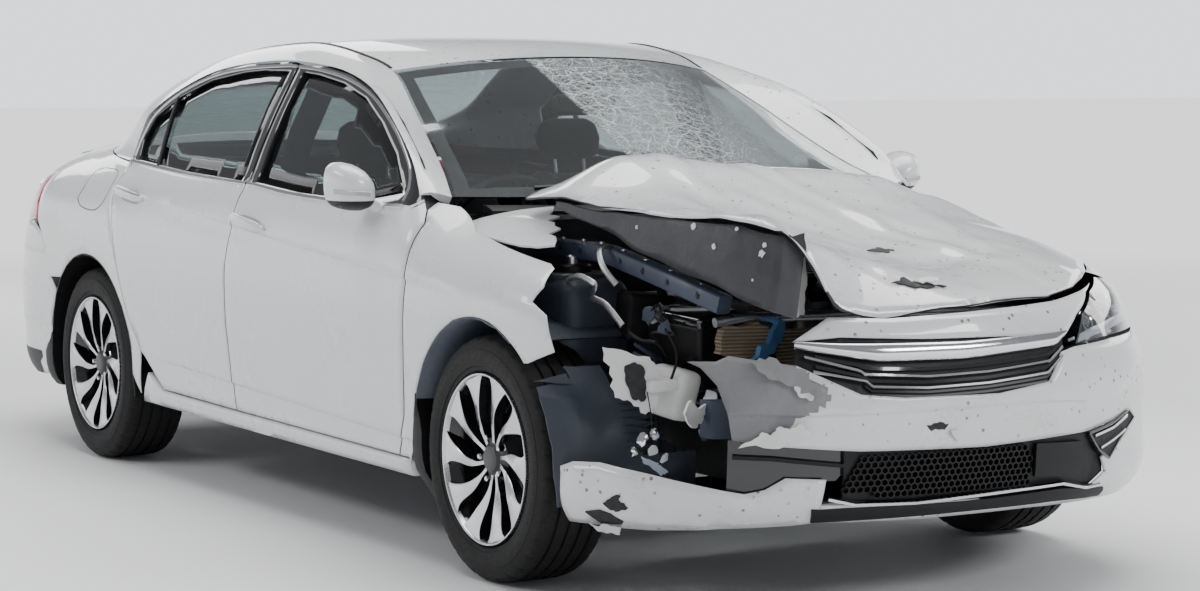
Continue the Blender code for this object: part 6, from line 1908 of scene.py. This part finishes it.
def build_seats():
    seam_lines = [lambda p, at=at: abs(abs(p.x) - at) for at in (0.14,)]
    cushion = [((0, -0.4, 0.44), (0, 0.0, 1), 0.8), ((0, -0.385, 0.45), (0, 0.1, 1), 0.92), ((0, -0.33, 0.458),
        (0, 0.05, 1), 0.97), ((0, -0.2, 0.452), (0, 0, 1), 1.0), ((0, -0.06, 0.444), (0, 0, 1), 1.0),
        ((0, 0.04, 0.44), (0, 0, 1), 0.97), ((0, 0.08, 0.44), (0, 0, 1), 0.9)]
    back = [((0, 0.06, 0.5), (0, -1, 0.15), 0.84), ((0, 0.078, 0.54), (0, -1, 0.15), 0.94), ((0, 0.11, 0.66),
        (0, -1, 0.2), 1.0), ((0, 0.15, 0.79), (0, -1, 0.2), 0.98), ((0, 0.19, 0.91), (0, -1, 0.2), 0.88),
        ((0, 0.212, 0.975), (0, -1, 0.2), 0.74), ((0, 0.222, 1.0), (0, -1, 0.2), 0.6)]
    head = [((0, 0.232, 1.04), (0, -1, 0.2), 0.7), ((0, 0.236, 1.058), (0, -1, 0.2), 0.92), ((0, 0.244, 1.11),
        (0, -1, 0.2), 1.0), ((0, 0.252, 1.155), (0, -1, 0.2), 0.9), ((0, 0.255, 1.175), (0, -1, 0.2), 0.64)]
    parts = {"cushion": (bolster_rings(cushion, 0.47, [0.06, 0.1, 0.12, 0.125, 0.125, 0.11, 0.07], 0.03),
        seam_lines + [lambda p: abs(p.y + 0.3), lambda p: abs(p.y + 0.06)], 0.016), "back": (bolster_rings(back, 0.46,
        [0.05, 0.085, 0.095, 0.095, 0.085, 0.07, 0.035], 0.03), seam_lines + [lambda p: abs(p.z - 0.64),
        lambda p: abs(p.z - 0.88)], 0.016), "headrest": (bolster_rings(head, 0.24, [0.03, 0.055, 0.065, 0.055, 0.03],
        0.0), [lambda p: abs(p.y - 0.268)], 0.01),}
    for part, (rings, seams, cap) in parts.items():
        made = pad(f"seat_{part}_right", rings, seams, CLOTH, cap=cap)
        other = bpy.data.objects.new(f"seat_{part}_left", made.data.copy())
        scene.collection.objects.link(other)
        for piece, side in ((made, -1), (other, 1)):
            for v in piece.data.vertices:
                v.co.x += side * 0.365
        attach(other, "shell")
        if part == "back":
            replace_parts(made, "seat_front_right")
            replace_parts(other, "seat_front_left")
    rear_seams = [lambda p: abs(abs(p.x) - 0.2), lambda p: abs(abs(p.x) - 0.46)]
    bench = [((0, 0.44, 0.41), (0, 0, 1), 0.94), ((0, 0.46, 0.425), (0, 0, 1), 0.98), ((0, 0.56, 0.435), (0, 0, 1),
        1.0), ((0, 0.72, 0.428), (0, 0, 1), 1.0), ((0, 0.83, 0.43), (0, 0, 1), 0.98), ((0, 0.85, 0.435), (0, 0, 1),
        0.94)]
    rest = [((0, 0.912, 0.505), (0, -1, 0.3), 0.94), ((0, 0.922, 0.53), (0, -1, 0.3), 0.98), ((0, 0.975, 0.68),
        (0, -1, 0.35), 1.0), ((0, 1.03, 0.82), (0, -1, 0.35), 0.99), ((0, 1.052, 0.88), (0, -1, 0.35), 0.96),
        ((0, 1.058, 0.895), (0, -1, 0.35), 0.9)]
    bench_piece = pad("rear_bench", bolster_rings(bench, 1.12, [0.06, 0.1, 0.12, 0.12, 0.1, 0.06], 0.0, 26),
        rear_seams, CLOTH)
    pad("rear_back", bolster_rings(rest, 1.12, [0.04, 0.07, 0.085, 0.08, 0.06, 0.03], 0.0, 26), rear_seams, CLOTH)
    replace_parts(bench_piece, "seat_rear")
    for side, hand in HANDS:
        x = side * 0.365
        for index, (low, high) in enumerate((((x - 0.225, -0.38, 0.262), (x + 0.225, 0.1, 0.384)), ((x - 0.205, -0.33,
                0.247), (x - 0.165, 0.14, 0.272)), ((x + 0.165, -0.33, 0.247), (x + 0.205, 0.14, 0.272)))):
            rounded_box(f"seat_base_{hand}_{index}", low, high, 0.012, (TRIM, SATIN, SATIN)[index])
        for index in (-1, 1):
            tube(f"headrest_post_{hand}_{index + 1}", [(x + index * 0.055, 0.212, 0.94), (x + index * 0.055, 0.23,
                1.01), (x + index * 0.055, 0.24, 1.085)], 0.006, SATIN)
    rounded_box("rear_bench_base", (-0.56, 0.44, 0.24), (0.56, 0.82, 0.36), 0.015, TRIM)


def build_cabin():
    """Dashboard with its binnacle, vents and screen, column shroud, mirror, shelf, lining and window surrounds."""
    profile = [(-1.072, 0.605), (-0.9, 0.615), (-0.79, 0.655), (-0.742, 0.71), (-0.734, 0.78), (-0.742, 0.838),
        (-0.77, 0.88), (-0.815, 0.912), (-0.9, 0.928), (-1.0, 0.93), (-1.072, 0.926)]
    rings = []
    for k in range(57):
        x = -0.695 + 1.39 * k / 56
        hood = 0.022 * math.exp(-((x + 0.365) / 0.16) ** 2)
        bend = 0.02 * (x / 0.695) ** 2
        rings.append([Vector((x, y - bend * ramp(-1.05, -0.75, y), z + hood * ramp(0.8, 0.92, z) * ramp(-1.05, -0.85,
            y))) for y, z in profile])
    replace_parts(loft("dashboard_skin", rings, TRIM), "dashboard")
    rounded_box("dash_screen", (-0.12, -0.752, 0.8), (0.12, -0.73, 0.895), 0.006, GLOSS)
    for index, x in enumerate((-0.61, -0.16, 0.16, 0.61)):
        rounded_box(f"dash_vent_{index}", (x - 0.05, -0.748, 0.79), (x + 0.05, -0.728, 0.85), 0.008, BLACK)
        for row in range(4):
            rounded_box(f"vent_blade_{index}_{row}", (x - 0.044, -0.73, 0.799 + 0.012 * row), (x + 0.044, -0.722,
                0.802 + 0.012 * row), 0.001, GLOSS, segments=1)
    strip("dash_trim", [(-0.66, -0.733, 0.775), (-0.3, -0.731, 0.775), (0.3, -0.731, 0.775), (0.66, -0.733, 0.775)],
        (0, 1, 0), 0.012, 0.004, SATIN)
    rounded_box("console", (-0.085, -0.76, 0.262), (0.085, 0.3, 0.5), 0.02, TRIM)
    rounded_box("gear_gate", (-0.05, -0.42, 0.498), (0.05, -0.26, 0.508), 0.004, GLOSS)
    tube("gear_lever", [(0, -0.34, 0.5), (0, -0.335, 0.56), (0, -0.33, 0.6)], 0.012, SATIN)
    rounded_box("arm_rest", (-0.075, -0.1, 0.5), (0.075, 0.22, 0.56), 0.022, TRIM, segments=4)
    # rear-view mirror hanging behind the windscreen
    rounded_box("cabin_mirror", (-0.15, -0.545, 1.205), (0.085, -0.51, 1.27), 0.016, BLACK,
        turn=(-6, 0, 8), segments=4)
    tube("cabin_mirror_arm", [(-0.03, -0.535, 1.262), (-0.03, -0.545, 1.285), (-0.03, -0.56, 1.298)], 0.01, BLACK)
    # shroud round the steering column, clear of it all the way
    tilt = math.radians(STEERING_TILT)
    axis = Vector((0, math.cos(tilt), math.sin(tilt)))
    rise = Vector((0, -math.sin(tilt), math.cos(tilt)))
    profile = [(-0.052, 0.027), (-0.052, 0.038), (-0.062, 0.044), (-0.3, 0.052), (-0.3, 0.027)]
    loft("column_shroud", [[Vector(STEERING_CENTRE) + axis * h + Vector((r * math.cos(t), 0, 0)) + rise * r *
        math.sin(t) for h, r in profile] for t in turns(32)], BLACK,
        closed=True)
    # headlining, parcel shelf and pillars
    sheet = spanning(ROOF)
    bm = slab(lambda u, v: sheet(u, v) + Vector((0, 0, -0.006)), lambda v: steps(20, -0.93, 0.93), steps(16, 0.03,
        0.97), 0.006, (0, 0.3, 0.6))
    put(bm, "headlining", TRIM, "shell", 40, merge=False)
    rounded_box("parcel_shelf", (-0.598, 1.11, 0.905), (0.598, 1.72, 0.925), 0.006, TRIM)
    rounded_box("deck_riser", (-0.585, 1.706, 0.915), (0.585, 1.722, 1.004), 0.004, TRIM)
    rounded_box("rear_bulkhead", (-0.6, 1.125, 0.255), (0.6, 1.145, 0.905), 0.006, TRIM)
    for side, hand in HANDS:
        rounded_box(f"side_bulkhead_{hand}", (min(side * 0.6, side * 0.8), 1.345, 0.45), (max(side * 0.6, side * 0.8),
            1.36, 0.912), 0.004, TRIM)
        rounded_box(f"shelf_end_{hand}", (min(side * 0.6, side * 0.8), 1.345, 0.905), (max(side * 0.6, side * 0.8),
            1.72, 0.925), 0.006, TRIM)
        rings = []
        for k in range(19):
            y = 1.345 + 0.375 * k / 18
            inner = half_width(y, 1.0) - 0.055
            rings.append([Vector((side * (inner + out), y, z)) for out, z in ((0.0, 0.64), (0.0, 0.905),
                (-0.015, 0.96), (-0.03, 1.0), (-0.036, 1.0), (-0.021, 0.96), (-0.006, 0.905), (-0.006, 0.64))])
        loft(f"quarter_trim_{hand}", rings, TRIM)
    # black surround of the windscreen, cowl and wipers
    screen = spanning(SCREEN)
    for name, u0, u1, v0, v1 in (("screen_band_top", -0.985, 0.985, 0.93, 0.988), ("screen_band_low", -0.985, 0.985,
            0.012, 0.09), ("screen_band_right", -0.985, -0.93, 0.09, 0.93), ("screen_band_left", 0.93, 0.985, 0.09,
            0.93)):
        bm = slab(screen, lambda v, a=u0, b=u1: steps(40 if b - a > 1 else 4, a, b), steps(4 if v1 - v0 < 0.1 else 30,
            v0, v1), 0.0006, (0, 0.3, 0.6), 0.0066)
        put(bm, name, BLACK, "shell", 40, merge=False)
    cowl = []
    for k in range(41):
        x = -0.69 + 1.38 * k / 40
        base = screen(x / 0.77, 0.0)
        y = base.y - 0.006
        cowl.append([Vector((x, y, base.z - 0.02)), Vector((x, y - 0.02, base.z - 0.022)), Vector((x, y - 0.055,
            base.z - 0.034)), Vector((x, y - 0.056, base.z - 0.044)), Vector((x, y + 0.004, base.z - 0.04))])
    loft("cowl", cowl, BLACK, sharp=30)
    for index, (x0, x1) in enumerate(((-0.56, -0.02), (0.02, 0.5))):
        points = []
        for k in range(5):
            t = k / 4
            spot = screen((x0 + (x1 - x0) * t) / 0.77, 0.035 + 0.075 * t)
            points.append(spot + Vector((0, -0.006, 0.01)))
        strip(f"wiper_{index}", points, (0, -0.6, 0.8), 0.01, 0.01, BLACK, gap=0.02)
        tube(f"wiper_arm_{index}", [points[0] + Vector((0.1, -0.045, -0.018)), points[1] + Vector((0.06, -0.02,
            0.008)), points[2] + Vector((0, -0.002, 0.014))], 0.006, BLACK)
    # black ditch trims along the roof's edges
    for side, hand in HANDS:
        points = []
        for k in range(45):
            row = 4.1 + 4.8 * k / 44
            out, y, z = (rail_point(row, column) for column in (3, 4, 5))
            points.append(Vector((side * out, y, z)))
        loft(f"roof_ditch_{hand}", sweep_rings(points, Vector((side * 0.35, 0, 1)).normalized(), strip_section(0.016,
            0.0022, 0.002)), BLACK, sharp=50)
        for end, low, high in (("front", -0.7, -0.02), ("rear", 0.23, 0.71)):
            body = f"door_{end}_{hand}"
            for name, x, y, z, look in (("card", (0.832, 0.864), (low, high), (0.36, 0.56), TRIM), ("armrest",
                    (0.8, 0.872), (low + 0.12, high - 0.06), (0.628, 0.664), BLACK), ("pull", (0.82, 0.87),
                    (low + 0.18, low + 0.3), (0.762, 0.786), SATIN)):
                rounded_box(f"door_{name}_{hand}_{end}", (min(side * x[0], side * x[1]), y[0], z[0]),
                    (max(side * x[0], side * x[1]), y[1], z[1]), 0.01, look, body=body)



# ---------------------------------------------------------------- tail and underside
def on_tail(angle, z, lift=0.0):
    spot = tail(angle, z)
    normal = normal_at(tail, angle, z, 0.3, 0.003)
    if normal.dot(spot - Vector((0, 1.2, 0.5))) < 0:
        normal = -normal
    return spot + normal * lift


def tail_plate(name, outline, lift, look, inward=0.004, cell=0.03, body="shell"):
    bm = plate(lambda u, v, up: on_tail(u / TURN, v, up), [(a * TURN, z) for a, z in outline], lift, inward, cell)
    return put(bm, name, look, body, 45, merge=False)


def tail_strip(name, pairs, width, height, look, lift=0.0, body="shell"):
    spots = nose_line(pairs)
    path = [on_tail(a, z, lift) for a, z in spots]
    ups = [(on_tail(a, z, 0.01) - on_tail(a, z)).normalized() for a, z in spots]
    return loft(name, sweep_rings(path, ups, strip_section(width, height, 0.003)), look, body, sharp=50)


def tail_shape(angle, z):
    """Pressed step above the lower valance and a shelf under the lid."""
    lift = 0.0
    below = 0.43 - z
    if below > 0:
        lift -= 0.006 * (1 - math.exp(-below / 0.006)) * math.exp(-below / 0.08)
    below = 0.69 - z
    if below > 0:
        lift -= 0.004 * (1 - math.exp(-below / 0.005)) * math.exp(-below / 0.05)
    return lift


def build_tail():
    levels = [(Vector((0, 0, z)), Vector((0, 0, 1))) for z in (0.33, 0.424, 0.43, 0.684, 0.69)]
    put(refine("rear_bumper", Round(TAIL_CENTRE, 1, tail_shape), 3, levels, paint_rule=lambda where,
        normal: 1 if where.z < 0.33 and where.y > 1.8 else 0), "rear_bumper_skin", [WHITE, BLACK], "shell",
        40, "rear_bumper")
    for side, hand in HANDS:
        name = "tail_lamp_" + hand
        put(refine(name, Round(TAIL_CENTRE, 1), 3), name + "_lens", RED, "shell", 40, name)
        tail_strip(name + "_guide", [(side * a, z) for a, z in ((41.0, 0.93), (48.0, 0.936), (56.0, 0.934),
            (62.0, 0.92))], 0.01, 0.003, CHROME, 0.0)
        tail_plate(name + "_reverse", [(side * a, z) for a, z in ((40.0, 0.85), (52.0, 0.856), (52.0, 0.826),
            (40.0, 0.822))], 0.0016, CLEAR, 0.002)
        tail_plate("reflector_" + hand, [(side * a, z) for a, z in ((27.0, 0.4), (36.0, 0.404), (36.0, 0.38),
            (27.0, 0.376))], 0.003, RED, 0.012)
        tube("tail_pipe_" + hand, [(side * 0.5, 2.2, 0.27), (side * 0.5, 2.3, 0.268), (side * 0.5, 2.405, 0.262)],
            0.036, CHROME, sides=24)
        # dark core inside each pipe: soot and painted shade
        tube("tail_pipe_core_" + hand, [(side * 0.5, 2.38, 0.263), (side * 0.5, 2.4065, 0.262)], 0.03, DARK_AND_PAINTED_SHADE,
            sides=24)
    # lid: bright bar, blank plate in its recess, its screws and lamps
    rows = [(x, 0.905) for x in [-0.36 + 0.06 * k for k in range(13)]]

    def lid_spot(x, z, up=0.0):
        v = 0.65 + 0.35 * (0.99 - z) / (0.99 - LID_FOOT)
        return lid_skin(x, v) + Vector((0, up, 0))

    path = [lid_spot(x, z) for x, z in rows]
    loft("lid_bar", sweep_rings(path, Vector((0, 1, 0)), strip_section(0.026, 0.01, 0.003)), CHROME, "boot_lid",
        sharp=50)
    for name, half, low, high, up, look, slot in (("plate_recess", 0.29, 0.783, 0.888, 0.0012, BLACK,
            "black_plastic"), ("blank_plate", 0.25, 0.79, 0.882, 0.006, MATTE, "white_plastic")):
        bm = plate(lambda u, v, lift: lid_spot(u, v, lift), [(-half, low), (half, low), (half, high), (-half, high)],
            up, 0.004, 0.05)
        put(bm, name, look, "boot_lid", 45, merge=False)
    for index, x in enumerate((-0.235, 0.235)):
        chip(f"plate_screw_{index}", lid_spot(x, 0.836, 0.0062), (0, 1, 0), 0.006, SATIN, 120 + index)
        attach(bpy.data.objects[f"plate_screw_{index}"], "boot_lid")
    for side, hand in HANDS:
        inner, outer = side * 0.44, side * 0.553
        bm = plate(lambda u, v, lift: lid_spot(u, v, lift), [(inner, 0.812), (outer, 0.806), (outer, 0.948),
            (inner, 0.925)], 0.0025, 0.012, 0.03)
        put(bm, f"lid_lamp_{hand}", RED, "boot_lid", 45, merge=False)
        bm = plate(lambda u, v, lift: lid_spot(u, v, lift), [(inner, 0.85), (outer, 0.85), (outer, 0.872),
            (inner, 0.868)], 0.0045, 0.004, 0.03)
        put(bm, f"lid_lamp_band_{hand}", CLEAR, "boot_lid", 45, merge=False)
    rounded_box("deck_gutter", (-0.585, 1.708, 0.996), (0.585, 1.93, 1.01), 0.004, BLACK)
    # heater lines in the rear window
    glass = spanning(BACKLIGHT)
    for index in range(9):
        v = 0.16 + 0.085 * index
        points = [glass(-0.86 + 1.72 * k / 24, v) + Vector((0, 0, -0.0092)) for k in range(25)]
        strip(f"heater_line_{index}", points, (0, 0.3, 1), 0.0016, 0.0006, BARE, gap=0.2,
            sink=0.0002)
    # underside
    tube("exhaust", [(-0.1, -1.2, 0.19), (-0.12, -0.4, 0.185), (-0.12, 0.7, 0.19), (-0.25, 1.05, 0.215), (-0.42, 1.75,
        0.225), (-0.46, 2.0, 0.23), (-0.5, 2.22, 0.262)], 0.028, STEEL, gap=0.05, sides=16)
    rounded_box("silencer", (-0.56, 1.76, 0.17), (-0.18, 2.02, 0.3), 0.05, STEEL, segments=5)
    rounded_box("fuel_tank", (-0.38, 0.52, 0.172), (0.52, 0.96, 0.236), 0.03, BLACK, segments=4)
    for side, hand in HANDS:
        for index, (y0, y1) in enumerate(((-1.02, -0.25), (-0.2, 0.46))):
            rounded_box(f"under_rail_{hand}_{index}", (side * 0.62 - 0.045, y0, 0.196), (side * 0.62 + 0.045, y1,
                0.238), 0.01, NAVY)


def build_all():
    build_flanks()
    build_sheets()
    build_wheels()
    build_trim()
    mirror_pieces()
    window_seals()
    build_bonnet()
    build_nose()
    build_headlamp()
    build_bay()
    build_seats()
    build_cabin()
    build_tail()


build_all()

# ---------------------------------------------------------------- floor and finish
FLOOR_REACH = 60.0
bm = bmesh.new()
bmesh.ops.create_grid(bm, x_segments=8, y_segments=8, size=FLOOR_REACH)
mesh = bpy.data.meshes.new("floor")
bm.to_mesh(mesh)
bm.free()
mesh.materials.append(floor_material())
floor = bpy.data.objects.new("floor", mesh)
scene.collection.objects.link(floor)

LOOKS = {"tyre": RUBBER, "rim": ALLOY, "knuckle": CAST, "rear_axle": STEEL, "liner": BLACK, "floor": STEEL,
    "side_frame": BLACK, "front_frame": NAVY, "front_subframe": STEEL, "engine": CAST, "radiator": TAN, "seat": CLOTH,
    "dashboard": TRIM, "steering": TRIM, "mirror": WHITE, "bonnet_frame": UNDER, "grille": BLACK, "garnish": WHITE,
    "headlamp": CLEAR, "tail_lamp": RED, "front_bumper": DENTED, "bumper_corner": DENTED, "rear_bumper": WHITE,
    "bonnet": DENTED}
for name, node in NODES.items():
    for key in sorted(LOOKS, key=len, reverse=True):
        if name.startswith(key):
            node.data.materials.clear()
            node.data.materials.append(LOOKS[key])
            break
